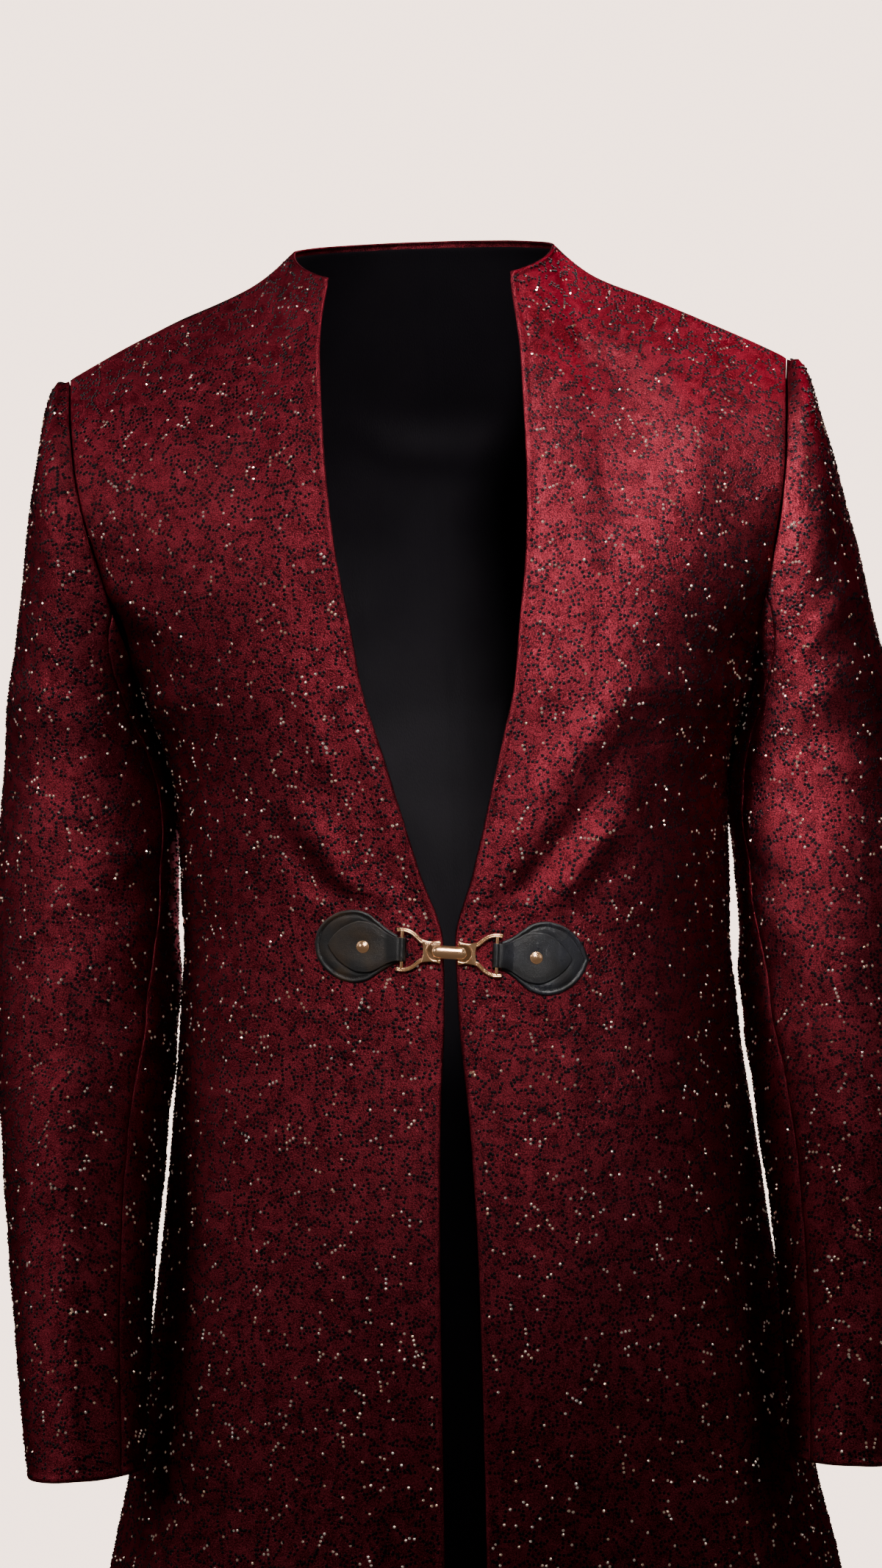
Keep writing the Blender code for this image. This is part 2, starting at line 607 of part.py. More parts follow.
def ring_faces(steps, sides):
    """Faces between rings of points, each ring to the next."""
    faces = []
    for ring in range(steps):
        for step in range(sides):
            start = ring * sides
            onward = (step + 1) % sides
            faces.append([start + onward, start + step, start + sides + step, start + sides + onward])
    return faces


def make_rivet(name, side):
    """A domed head on the leaf."""
    seat = SEAM_GAP + 2 * LAYER_GAP + 2 * LEATHER
    rings = RIVET_RINGS
    sides = RIVET_SIDES
    turned = np.arange(sides) * 2 * np.pi / sides
    along = []
    up = []
    lift = []
    for ring in range(rings + 1):
        radius = RIVET_RADIUS * math.cos(math.pi / 2 * max(ring - 1, 0) / rings)
        along.append(RIVET_ALONG + radius * np.cos(turned))
        up.append(radius * np.sin(turned))
        dome = math.sin(math.pi / 2 * (ring - 1) / rings)
        height = 0 if ring == 0 else RIVET_RISE * (RIVET_RIM + (1 - RIVET_RIM) * dome)
        lift.append(np.full(sides, seat + height))
    along = np.concatenate([*along, [RIVET_ALONG]])
    up = np.concatenate([*up, [0.0]])
    lift = np.concatenate([*lift, [seat + RIVET_RISE]])
    points = on_clasp(along, up, lift, side)
    faces = [list(range(sides))] + ring_faces(rings, sides)
    last = rings * sides
    faces += [[last + (step + 1) % sides, last + step, last + sides] for step in range(sides)]
    if side > 0:
        faces = [face[::-1] for face in faces]
    add_object(name, pose(points, False), faces, GILT)


def tube_mesh(route, radii, sides):
    """Points and faces of a closed tube along a route, each point of which has its own radius."""
    route = np.asarray(route, float)
    tangent = unit(np.gradient(route, axis=0))
    level = unit(np.cross(tangent, WIRE_ASIDE))
    upright = np.cross(level, tangent)
    turned = np.arange(sides) * 2 * np.pi / sides
    circle = level[:, None] * np.cos(turned)[None, :, None] + upright[:, None] * np.sin(turned)[None, :, None]
    points = route[:, None] + circle * np.asarray(radii, float)[:, None, None]
    last_ring = list(range((len(route) - 1) * sides, len(route) * sides))
    faces = [list(range(sides)), last_ring[::-1]] + ring_faces(len(route) - 1, sides)
    return points.reshape(-1, 3), faces


def join_solids(base, extras):
    """The base with each extra solid united to it, and the extras hidden."""
    for extra in extras:
        extra.hide_render = True
        extra.display_type = "WIRE"
        union = base.modifiers.new(extra.name, "BOOLEAN")
        union.operation = "UNION"
        union.object = extra


def add_wire(name, route, lift, side, radius):
    """A gilt wire through places along and up the clasp."""
    route = np.asarray(route, float)
    places = on_clasp(route[:, 0], route[:, 1], np.full(len(route), lift), side)
    points, faces = tube_mesh(pose(places, False), np.full(len(route), radius), WIRE_SIDES)
    return add_object(name, points, faces, GILT)


def plate_outline():
    """The plate's outline, along and up the clasp, with its round notch towards the link."""
    notch_end = math.acos((PLATE_NEAR - NOTCH_CENTRE) / NOTCH_RADIUS)
    notch = [
        (NOTCH_CENTRE + NOTCH_RADIUS * math.cos(turned), NOTCH_RADIUS * math.sin(turned))
        for turned in np.linspace(-notch_end, notch_end, NOTCH_STEPS)
    ]
    middle = (PLATE_NEAR + PLATE_FAR) / 2
    waist = PLATE_HALF_HEIGHT - PLATE_WAIST
    top = [(PLATE_NEAR, PLATE_HALF_HEIGHT), (middle, waist), (PLATE_FAR, PLATE_HALF_HEIGHT)]
    far = [(PLATE_FAR - PLATE_WAIST, 0.0)]
    return notch + top + far + [(along, -up) for along, up in reversed(top)]


def make_ring(name, side):
    """The cast ring: its notched plate, two curved arms and the bar that the leather holds."""
    outline = np.array(plate_outline())
    if side < 0:
        outline = outline[::-1]
    count = len(outline)
    layers = [on_clasp(outline[:, 0], outline[:, 1], np.full(count, lift), side) for lift in PLATE_LIFTS]
    points = pose(np.concatenate(layers), False)
    faces = [list(range(count))[::-1], list(range(count, 2 * count))]
    faces += [[step, (step + 1) % count, count + (step + 1) % count, count + step] for step in range(count)]
    plate = add_object(name, points, faces, GILT)
    bar_route = [(BAR_ALONG, up) for up in (-BAR_HALF_LENGTH, 0.0, BAR_HALF_LENGTH)]
    wires = [add_wire(f"{name}_bar", bar_route, BAR_LIFT, side, BAR_RADIUS)]
    for way, word in ((1, "upper"), (-1, "lower")):
        route = [(along, way * up) for along, up in ARM_ROUTE]
        wires.append(add_wire(f"{name}_{word}", route, ARM_LIFT, side, ARM_RADIUS))
    join_solids(plate, wires)


def make_link():
    """The round-ended bar between the rings, with the ends of the pins that hold it in their notches."""
    straight = LINK_HALF_LENGTH - LINK_RADIUS
    turned = np.linspace(0, math.pi / 2, LINK_END_STEPS + 1)[:-1]
    ends = straight + LINK_RADIUS * np.cos(turned)
    half_widths = LINK_RADIUS * np.sin(turned)
    half_widths[0] = LINK_TIP_RADIUS
    along = np.concatenate([-ends, [-straight, straight], ends[::-1]])
    widths = np.concatenate([half_widths, [LINK_RADIUS, LINK_RADIUS], half_widths[::-1]])
    points, faces = tube_mesh(np.stack([along, 0 * along, 0 * along], axis=-1), widths, LINK_SIDES)
    flatter = LINK_HALF_DEPTH / LINK_RADIUS
    places = on_clasp(points[:, 0], points[:, 2], LINK_LIFT - points[:, 1] * flatter)
    link = add_object("clasp_link", pose(places, False), faces, GILT)
    pins = []
    for side, word in ((1, "left"), (-1, "right")):
        route = [(side * NOTCH_CENTRE, up) for up in (-PIN_REACH, 0.0, PIN_REACH)]
        pins.append(add_wire(f"pin_{word}", route, LINK_LIFT, 1, PIN_RADIUS))
    join_solids(link, pins)


def make_clasp():
    for side, word in ((1, "left"), (-1, "right")):
        make_tab_base(f"tab_base_{word}", side)
        make_tab_flap(f"tab_flap_{word}", side)
        make_rivet(f"rivet_{word}", side)
        make_ring(f"ring_{word}", side)
    make_link()


def main():
    clear_scene()
    make_fronts()
    make_back()
    make_sleeves()
    make_clasp()


main()
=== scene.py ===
# The sherwani coat, dressed over its solids: velvet with sewn beads and stones, a lining, leather and a gilt
# clasp. Metres: +X is the wearer's left, the front faces -Y and +Z is up.
import math

import bpy
import mathutils
import numpy as np
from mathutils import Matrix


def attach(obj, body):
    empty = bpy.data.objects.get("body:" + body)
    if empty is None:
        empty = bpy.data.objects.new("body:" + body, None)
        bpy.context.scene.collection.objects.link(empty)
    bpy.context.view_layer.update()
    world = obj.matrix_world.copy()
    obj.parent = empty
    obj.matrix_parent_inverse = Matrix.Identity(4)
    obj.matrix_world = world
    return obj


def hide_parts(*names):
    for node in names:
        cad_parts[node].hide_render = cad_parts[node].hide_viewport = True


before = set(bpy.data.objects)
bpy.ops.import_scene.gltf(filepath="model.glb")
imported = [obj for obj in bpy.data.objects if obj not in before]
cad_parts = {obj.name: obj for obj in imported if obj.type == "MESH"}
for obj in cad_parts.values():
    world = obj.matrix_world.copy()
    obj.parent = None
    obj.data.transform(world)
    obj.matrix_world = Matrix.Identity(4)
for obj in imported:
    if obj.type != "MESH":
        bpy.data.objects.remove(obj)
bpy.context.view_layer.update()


print("the solids are loaded:", len(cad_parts), "nodes")


# A smooth curve through the rows of a table that never overshoots: between two rows it is the cubic with
# their slopes, each the harmonic mean of the steps on both sides, or level at a turning point.
def readTable(table, at):
    values = np.array(table["rows"], float)
    steps = np.diff(values, axis=0)
    sameWay = steps[:-1] * steps[1:] > 0
    sums = np.where(sameWay, steps[:-1] + steps[1:], 1.0)
    inner = np.where(sameWay, 2 * steps[:-1] * steps[1:] / sums, 0.0)
    slopes = np.concatenate([steps[:1], inner, steps[-1:]])
    at = np.clip(np.asarray(at, float), 0, len(values) - 1)
    low = np.minimum(at.astype(int), len(values) - 2)
    part = (at - low)[..., None]
    startWeight = (1 + 2 * part) * (1 - part) ** 2
    endWeight = part**2 * (3 - 2 * part)
    found = startWeight * values[low] + endWeight * values[low + 1]
    found = found + part * (1 - part) ** 2 * slopes[low] - part**2 * (1 - part) * slopes[low + 1]
    return {name: found[..., index] for index, name in enumerate(table["columns"])}


# Points at even steps through a table's rows, from all its columns.
def tableLine(table, count):
    at = readTable(table, np.linspace(0, len(table["rows"]) - 1, count))
    return np.stack([at[name] for name in table["columns"]], axis=-1)


def packPoints(x, y, z):
    return np.stack(np.broadcast_arrays(x, y, z), axis=-1)


def unit(vectors):
    return vectors / np.maximum(np.linalg.norm(vectors, axis=-1, keepdims=True), 1e-12)


# Directions along a line of points: the steps to both sides of each.
def alongLine(line):
    return unit(np.gradient(line, axis=0))


# 0 below start, 1 above end, and a smooth S between them.
def easeIn(value, start, end):
    share = np.clip((value - start) / (end - start), 0, 1)
    return share * share * (3 - 2 * share)


# A bell curve of the distance, 1 at 0.
def bell(distance):
    return np.exp(-(distance**2))


# Length along the points from the first one, by adding up the straight steps.
def lengthAlong(points, axis):
    steps = np.linalg.norm(np.diff(points, axis=axis), axis=-1)
    zero = np.zeros_like(np.take(steps, [0], axis=axis))
    return np.concatenate([zero, np.cumsum(steps, axis=axis)], axis=axis)


# A line of points read at the given lengths along it.
def readLine(line, lengths, at):
    return np.stack([np.interp(at, lengths, line[:, axis]) for axis in (0, 1)], axis=-1)


worn = {
    "lean": 0.030,
    "leanDepth": 0.34,
    "leanPower": 1.2,
    "drift": 0.012,
    "driftStarts": 0.45,
    "turn": 0.042,
    "tilt": 0.0266,
    "tiltEnds": 0.385,
}


# The body leans to the wearer's left with depth and turns a little. The shoulders' tilt fades out of it by
# the waist, and stays in the sleeves.
def pose(points, withShoulders):
    x, y, z = np.moveaxis(np.asarray(points, float), -1, 0)
    lost = easeIn(-z, bodyShape["armpitDepth"], worn["tiltEnds"])
    kept = 1.0 if withShoulders else 1 - lost
    depth = np.maximum(-z, 0)
    lean = worn["lean"] * (1 - np.exp(-((depth / worn["leanDepth"]) ** worn["leanPower"])))
    lean = lean + worn["drift"] * np.maximum(depth - worn["driftStarts"], 0)
    return packPoints(x + lean + worn["turn"] * y, y - worn["turn"] * x, z + worn["tilt"] * kept * x)


# The body below the armpit: half width, height, the front edge's x and y, and how far back its centre lies.
lowerRows = [
    (x, z, 0.003, 0.003, edgeX, edgeY, z, centreY, z, 90)
    for x, z, edgeX, edgeY, centreY in (
        (0.1850, -0.235, 0.0445, -0.124, 0.132),  # armpit
        (0.1745, -0.263, 0.0370, -0.123, 0.127),
        (0.1685, -0.300, 0.0272, -0.121, 0.119),
        (0.1672, -0.345, 0.0150, -0.119, 0.110),
        (0.1670, -0.385, 0.0034, -0.118, 0.106),  # clasp
        (0.1695, -0.425, 0.0040, -0.118, 0.109),
        (0.1775, -0.500, 0.0088, -0.121, 0.125),
        (0.1890, -0.590, 0.0114, -0.128, 0.145),
        (0.2080, -0.700, 0.0120, -0.138, 0.163),
        (0.2360, -0.830, 0.0124, -0.151, 0.180),
        (0.2580, -0.970, 0.0128, -0.164, 0.195),  # hem
    )
]

bodyShape = {
    "columns": (
        "sideX", "sideZ", "frontSideY", "backSideY", "edgeX", "edgeY", "edgeZ", "centreY", "centreZ", "turn",
    ),
    "rows": (
        (0.2200, -0.036, 0.004, 0.004, 0.0550, -0.060, 0.015, 0.078, 0.050, 55),  # shoulder point
        (0.2160, -0.078, -0.044, 0.047, 0.0600, -0.090, -0.040, 0.095, -0.008, 55),
        (0.2105, -0.122, -0.062, 0.062, 0.0595, -0.109, -0.095, 0.119, -0.075, 58),
        (0.2000, -0.168, -0.058, 0.058, 0.0565, -0.119, -0.148, 0.131, -0.138, 63),
        (0.1890, -0.211, -0.036, 0.038, 0.0495, -0.123, -0.198, 0.134, -0.195, 74),
        *lowerRows,
    ),
    "armpitRow": 5,
    "lastRow": 15,
    "armpitDepth": 0.235,
    "sectionPower": 0.86,
    "neckHalfWidth": 0.080,
    "neckPeak": 0.038,
    "neckBackReach": 0.074,
    "nape": 0.050,
    "shoulderSetback": 0.004,
    "shoulderSag": 0.0068,
    "sagAt": 0.2,
    "sagPower": 1.4,
    "frontNeckShare": 3 / 12,
    "backNeckShare": 5 / 11,
    "middleFade": 0.02,
    "neckFadeRows": 5,
    "neckFadePower": 2.5,
    "frontFlutes": ((0.30, -0.003, 0.12), (0.56, 0.006, 0.12), (0.82, -0.005, 0.10)),
    "backFlutes": ((0.00, 0.005, 0.12), (0.27, -0.008, 0.12), (0.50, 0.009, 0.11), (0.74, -0.007, 0.10)),
    "flutesStart": 9.5,
    "fluteGrowth": 1.4,
    "fluteSeamPower": 10,
}


# A straight line from the neck to the shoulder point, less a sag that is deepest a fifth of the way out.
def shoulderSeam(share):
    shape = bodyShape
    tip = shape["rows"][0]
    past = share / shape["sagAt"]
    sag = shape["shoulderSag"] * past ** shape["sagPower"] * np.exp(shape["sagPower"] * (1 - past))
    x = shape["neckHalfWidth"] + (tip[0] - shape["neckHalfWidth"]) * share
    z = shape["neckPeak"] + (tip[1] - shape["neckPeak"]) * share - sag * (1 - share**4)
    return packPoints(x, shape["shoulderSetback"], z)


# The neck's edge is part of an ellipse seen from above, whose height follows the sine of the angle round it,
# and after it comes the shoulder seam.
def topEdge(across, behind):
    shape = bodyShape
    neckShare = shape["backNeckShare"] if behind else shape["frontNeckShare"]
    share = np.clip((across - neckShare) / (1 - neckShare), 0, 1)
    roundNeck = np.clip(across / neckShare, 0, 1)
    if behind:
        angle = np.pi / 2 * (1 - roundNeck)
        reach, endHeight, endSine = shape["neckBackReach"], shape["nape"], 1.0
    else:
        start = readTable(shape, 0)
        endAngle = np.arccos(start["edgeX"] / shape["neckHalfWidth"])
        angle = endAngle * (1 - roundNeck)
        endSine = np.sin(endAngle)
        reach, endHeight = (start["edgeY"] - shape["shoulderSetback"]) / endSine, start["edgeZ"]
    x = shape["neckHalfWidth"] * np.cos(angle)
    y = shape["shoulderSetback"] + reach * np.sin(angle)
    z = shape["neckPeak"] + (endHeight - shape["neckPeak"]) * np.sin(angle) / endSine
    onNeck = (across < neckShare)[..., None]
    return np.where(onNeck, packPoints(x, y, z), shoulderSeam(share))


# Half a section, a superellipse: its reach to the side and its depth are powers of the sine and the cosine of
# an angle that grows evenly across it, from the front edge or the centre back (0) to the side (1).
def sectionPoint(row, across, behind):
    at = readTable(bodyShape, row)
    power = bodyShape["sectionPower"]
    startX = 0.0 if behind else at["edgeX"]
    startY = at["centreY"] if behind else at["edgeY"]
    startZ = at["centreZ"] if behind else at["edgeZ"]
    sideY = at["backSideY"] if behind else at["frontSideY"]
    turn = np.radians(at["turn"])
    angle = np.clip(across, 0, None) * turn
    endCosine = np.maximum(np.cos(turn), 0) ** power
    reach = (np.sin(angle) / np.sin(turn)) ** power
    depth = (np.maximum(np.cos(angle), 0) ** power - endCosine) / (1 - endCosine)
    x = startX + (at["sideX"] - startX) * reach
    y = sideY + (startY - sideY) * depth
    z = startZ + (at["sideZ"] - startZ) * across
    return packPoints(x, y, z)


# The sections, drawn up towards the neck's edge and the shoulder seam by an amount that fades down the rows.
def plainBody(row, across, behind):
    fade = np.clip(1 - row / bodyShape["neckFadeRows"], 0, 1) ** bodyShape["neckFadePower"]
    raised = topEdge(across, behind) - sectionPoint(np.zeros_like(row), across, behind)
    return sectionPoint(row, across, behind) + fade[..., None] * raised


# A sum of bell curves across the skirt, which grows down to the hem and dies out at the seams and the edge.
def fluteRise(row, across, behind):
    shape = bodyShape
    rise = np.zeros(np.broadcast(row, across).shape)
    for place, depth, halfWidth in shape["backFlutes"] if behind else shape["frontFlutes"]:
        rise = rise + depth * bell((across - place) / halfWidth)
    growth = np.clip((row - shape["flutesStart"]) / (shape["lastRow"] - shape["flutesStart"]), 0, 1)
    clearOfSeam = 1 - np.clip(across, 0, 1) ** shape["fluteSeamPower"]
    clearOfEdge = 1.0 if behind else 1 - np.clip(1 - across, 0, 1) ** shape["fluteSeamPower"]
    return rise * growth ** shape["fluteGrowth"] * clearOfSeam * clearOfEdge


# Directions out of a form: the cross product of its two slopes, each a central difference.
def outOf(form, row, across, rowStep, acrossStep):
    down = form(row + rowStep, across) - form(row - rowStep, across)
    sideways = form(row, across + acrossStep) - form(row, across - acrossStep)
    return np.cross(down, sideways)


# Points of the wearer's left half of the plain wall, with its flutes, and the directions out of it.
def bodyWall(row, across, behind):
    def form(row, across):
        return plainBody(row, across, behind)

    outward = unit(outOf(form, row, across, 0.002, 0.002) * (-1 if behind else 1))
    outer = plainBody(row, across, behind) + outward * fluteRise(row, across, behind)[..., None]
    return outer, outward


sleeveShape = {
    "columns": (
        "outerX", "outerZ", "innerX", "innerZ", "centreY", "halfDepth", "bulge", "frontSeam", "backSeam",
    ),
    "rows": (
        (0.2200, -0.0360, 0.1850, -0.2350, 0.003, 0.0620, 0.000, 60, 100),  # armhole
        (0.2275, -0.0375, 0.1850, -0.2375, 0.003, 0.0645, 0.005, 56, 100),  # roped sleeve head
        (0.2340, -0.0490, 0.1842, -0.2420, 0.005, 0.0670, 0.010, 52, 101),
        (0.2410, -0.0810, 0.1818, -0.2480, 0.008, 0.0685, 0.014, 46, 102),
        (0.2510, -0.1280, 0.1778, -0.2580, 0.014, 0.0690, 0.014, 40, 103),
        (0.2630, -0.1920, 0.1728, -0.2730, 0.020, 0.0680, 0.010, 34, 104),
        (0.2740, -0.2620, 0.1690, -0.3000, 0.024, 0.0650, 0.005, 31, 105),
        (0.2835, -0.3450, 0.1715, -0.3450, 0.020, 0.0610, 0.000, 32, 105),
        (0.2855, -0.4300, 0.1735, -0.4200, 0.010, 0.0580, 0.000, 44, 105),  # elbow
        (0.2800, -0.5120, 0.1798, -0.5050, -0.022, 0.0530, 0.000, 54, 104),
        (0.2720, -0.6000, 0.1878, -0.5950, -0.056, 0.0480, 0.000, 52, 102),
        (0.2615, -0.6970, 0.1915, -0.6930, -0.090, 0.0440, 0.000, 46, 100),  # cuff
    ),
    "lastRow": 11,
    "armholeFadeRows": 5,
    "creaseAngle": 92,
    "creaseHeight": 0.0022,
    "creaseWidth": 16,
    "creaseStarts": 7.5,
    "creaseGrows": 1.5,
    # middle row, angle, height, half length in degrees, half width in rows, rows dropped for each 90 degrees
    "folds": (
        (5.4, 120, 0.0030, 60, 0.34, 0.5),
        (6.7, 60, 0.0028, 50, 0.30, 0.7),
        (7.6, 75, 0.0036, 55, 0.24, 0.6),
        (8.3, 60, 0.0032, 50, 0.24, 0.5),
        (8.9, 85, 0.0026, 55, 0.26, 0.4),
        (7.9, 250, 0.0030, 55, 0.26, -0.4),
        (8.6, 280, 0.0024, 50, 0.26, -0.4),
    ),
}


# The body's armhole, by degrees round from the armpit towards the front.
def armholePoint(angle):
    armpit = bodyShape["armpitRow"]
    front = readTable(bodyShape, armpit * (1 - angle / 180))
    back = readTable(bodyShape, armpit * (angle / 180 - 1))
    onFront = (angle <= 180)[..., None]
    frontPoint = packPoints(front["sideX"], front["frontSideY"], front["sideZ"])
    return np.where(onFront, frontPoint, packPoints(back["sideX"], back["backSideY"], back["sideZ"]))


# An ellipse between the sleeve's inner and outer edges, bulged by the square of the sine of its angle.
def sleeveSection(row, angle):
    at = readTable(sleeveShape, row)
    turned = np.radians(angle)
    inwards = (1 + np.cos(turned)) / 2
    x = at["outerX"] + (at["innerX"] - at["outerX"]) * inwards + at["bulge"] * np.sin(turned) ** 2
    z = at["outerZ"] + (at["innerZ"] - at["outerZ"]) * inwards
    y = at["centreY"] - at["halfDepth"] * np.sin(turned)
    return packPoints(x, y, z)


# The sections, drawn to the armhole by an amount that fades down the rows.
def plainSleeve(row, angle):
    angle = np.mod(angle, 360)
    fade = np.clip(1 - row / sleeveShape["armholeFadeRows"], 0, 1) ** 2
    ring = armholePoint(angle) - sleeveSection(np.zeros_like(row), angle)
    return sleeveSection(row, angle) + fade[..., None] * ring


def degreesBetween(angle, direction):
    return np.mod(angle - direction + 180, 360) - 180


# Bell curves across each slanting fold that also die out towards its ends, and one along the pressed crease.
def sleeveRise(row, angle, folds):
    shape = sleeveShape
    pressed = np.clip((row - shape["creaseStarts"]) / shape["creaseGrows"], 0, 1)
    offCrease = degreesBetween(angle, shape["creaseAngle"])
    rise = shape["creaseHeight"] * pressed * bell(offCrease / shape["creaseWidth"])
    for middle, direction, height, halfLength, halfWidth, slant in folds:
        roundBy = degreesBetween(angle, direction)
        offset = row - middle - slant * roundBy / 90
        rise = rise + height * np.exp(-((offset / halfWidth) ** 2) - (roundBy / halfLength) ** 2)
    return rise


def sleeveWall(row, angle):
    outward = unit(outOf(plainSleeve, row, angle, 0.002, 0.12))
    outer = plainSleeve(row, angle) + outward * sleeveRise(row, angle, sleeveShape["folds"])[..., None]
    return outer, outward


cloth = {
    "thickness": 0.002,
    "lattice": (301, 161),
    "spacing": 0.0058,
    "edgeSteps": (0, 0.00015, 0.0004, 0.0008, 0.0013, 0.0020, 0.0030, 0.0042, 0.0060, 0.0085),
    "rollHeight": 0.0005,
    "rollAt": 0.0023,
    "rollWidth": 0.0013,
    "rollTrough": 0.0003,
    "troughAt": 0.0056,
    "seamDepth": 0.0005,
    "seamWidth": 0.0024,
    "facing": 0.0030,
    "rimRows": 0.25,
    "centreSeamDepth": 0.0004,
    "centreSeamWidth": 0.0016,
    "unevenness": 0.00030,
    "waveLengths": (0.034, 0.090),
    "creaseReach": 0.06,
    "creaseFull": 1.15,
    "creaseTrough": 0.28,
    "creaseTroughAt": 1.9,
    "creaseTroughPinch": 1.4,
    "underArm": {"z": -0.215, "height": 0.045, "rise": 0.0032, "fromX": 0.13, "toX": 0.185},
    "seed": 1881,
    # Creases of the fronts, for the wearer's left and right: height and half width, then places as distance
    # from the middle and height, all in millimetres.
    "leftCreases": (
        (2.6, 11, (15, -367), (62, -297), (121, -230)),
        (-1.8, 7, (31, -367), (60, -338), (96, -297)),
        (2.0, 8, (54, -372), (78, -342), (108, -306)),
        (-2.4, 12, (68, -29), (96, -35), (126, -59)),
        (2.6, 17, (137, -36), (157, -92), (143, -156)),
        (1.8, 8, (53, -411), (70, -443), (74, -485)),
        (1.4, 6, (7, -402), (10, -452), (19, -521)),
        (1.1, 7, (62, -92), (84, -104), (104, -128)),
        (1.2, 7, (60, -128), (82, -146), (98, -176)),
        (1.0, 7, (56, -166), (76, -182), (92, -208)),
        (0.9, 9, (92, -250), (110, -292), (112, -330)),
        (-1.6, 10, (206, -176), (186, -200), (160, -222)),
        (1.4, 12, (64, -560), (72, -640), (70, -720)),
    ),
    "rightCreases": (
        (3.2, 9, (88, -300), (66, -335), (42, -370)),
        (1.8, 8, (55, -244), (31, -309), (10, -365)),
        (1.3, 7, (83, -224), (74, -257), (62, -290)),
        (-1.4, 7, (100, -318), (78, -348), (60, -366)),
        (1.6, 7, (48, -406), (58, -430), (64, -460)),
        (1.1, 5, (34, -406), (33, -429), (36, -460)),
        (-2.4, 8, (208, -172), (190, -194), (166, -212)),
        (1.3, 9, (206, -160), (186, -176), (158, -190)),
        (1.0, 9, (70, -60), (98, -70), (130, -96)),
        (1.2, 12, (60, -560), (66, -640), (66, -720)),
    ),
    # The back: the same columns, on both sides of its middle.
    "backCreases": (
        (1.6, 12, (-60, -300), (-30, -345), (-12, -392)),
        (1.6, 12, (66, -296), (34, -348), (10, -396)),
        (-1.5, 9, (-92, -330), (-50, -372), (-20, -400)),
        (-1.5, 9, (96, -322), (52, -368), (22, -402)),
        (1.5, 10, (-150, -352), (-100, -380), (-58, -384)),
        (1.4, 10, (148, -346), (104, -378), (56, -388)),
        (2.2, 12, (-196, -176), (-160, -206), (-118, -226)),
        (2.0, 12, (198, -172), (162, -204), (116, -222)),
        (-2.0, 9, (-204, -150), (-178, -182), (-146, -204)),
        (-1.8, 9, (202, -152), (176, -184), (144, -200)),
        (1.2, 12, (-52, -40), (-20, -58), (20, -60), (56, -42)),
        (-1.0, 9, (-60, -62), (-20, -80), (24, -80), (62, -60)),
    ),
    # Finer folds of each sleeve, as in sleeveShape.
    "leftFolds": (
        (4.3, 95, 0.0016, 45, 0.26, 0.6),
        (6.2, 105, 0.0020, 45, 0.16, 0.7),
        (7.1, 70, 0.0016, 38, 0.13, 0.8),
        (8.0, 95, 0.0018, 45, 0.12, 0.5),
        (8.6, 110, 0.0013, 36, 0.11, 0.6),
        (9.4, 80, 0.0012, 40, 0.14, -0.3),
        (7.4, 215, 0.0018, 40, 0.15, -0.4),
        (8.3, 255, 0.0018, 45, 0.14, -0.5),
        (6.0, 235, 0.0016, 50, 0.20, -0.5),
        (7.8, 330, 0.0014, 40, 0.16, 0.2),
        (8.4, 0, 0.0014, 40, 0.14, 0.2),
    ),
    "rightFolds": (
        (4.6, 110, 0.0014, 45, 0.24, 0.5),
        (6.4, 85, 0.0022, 45, 0.17, 0.6),
        (7.2, 100, 0.0018, 42, 0.13, 0.7),
        (7.9, 70, 0.0022, 42, 0.12, 0.5),
        (8.5, 95, 0.0020, 42, 0.12, 0.6),
        (9.1, 75, 0.0016, 40, 0.12, 0.4),
        (9.8, 100, 0.0010, 36, 0.14, -0.3),
        (7.3, 225, 0.0018, 44, 0.15, -0.5),
        (8.2, 245, 0.0020, 45, 0.14, -0.4),
        (6.1, 240, 0.0014, 50, 0.20, -0.4),
        (7.7, 325, 0.0014, 40, 0.16, 0.2),
        (8.5, 355, 0.0014, 40, 0.14, 0.2),
    ),
}


# A bell curve of the distance to each crease's line, with a shallow trough on both sides, which dies out
# towards its ends. The line is a smooth curve through the crease's places.
def creaseRise(x, z, creases):
    rise = np.zeros(np.shape(x))
    for height, halfWidth, *places in creases:
        line = tableLine({"columns": ("x", "z"), "rows": places}, 25) / 1000
        middle = line.mean(axis=0)
        reach = np.ptp(line, axis=0) / 2 + cloth["creaseReach"]
        near = (np.abs(x - middle[0]) < reach[0]) & (np.abs(z - middle[1]) < reach[1])
        offX = x[near][:, None] - line[:, 0]
        offZ = z[near][:, None] - line[:, 1]
        apart = np.hypot(offX, offZ)
        closest = np.argmin(apart, axis=1)
        picked = np.arange(len(closest))
        way = np.gradient(line, axis=0)[closest]
        side = np.sign(way[:, 0] * offZ[picked, closest] - way[:, 1] * offX[picked, closest])
        distance = apart[picked, closest] / (halfWidth / 1000) * side
        taper = np.clip(cloth["creaseFull"] - np.abs(2 * closest / (len(line) - 1) - 1) ** 3, 0, 1)
        offTrough = np.abs(distance) - cloth["creaseTroughAt"]
        trough = cloth["creaseTrough"] * np.exp(-(offTrough**2) * cloth["creaseTroughPinch"])
        rise[near] += height / 1000 * (bell(distance) - trough) * taper
    return rise


# A sum of eight sine waves in space, each in its own direction and with its own length.
def unevenRise(points, seed):
    dice = np.random.default_rng(seed)
    lengths = dice.uniform(*cloth["waveLengths"], 8)
    ways = unit(dice.normal(size=(8, 3)))
    phases = dice.uniform(0, 2 * np.pi, 8)
    waves = np.sin(points @ (ways.T * 2 * np.pi / lengths) + phases)
    return cloth["unevenness"] * waves.sum(axis=-1) / 2


# The fullness under the wearer's left arm: a bell in height, only near the side seam.
def underArm(outer):
    reach = cloth["underArm"]
    soft = bell((outer[..., 2] - reach["z"]) / reach["height"])
    return reach["rise"] * soft * easeIn(outer[..., 0], reach["fromX"], reach["toX"])


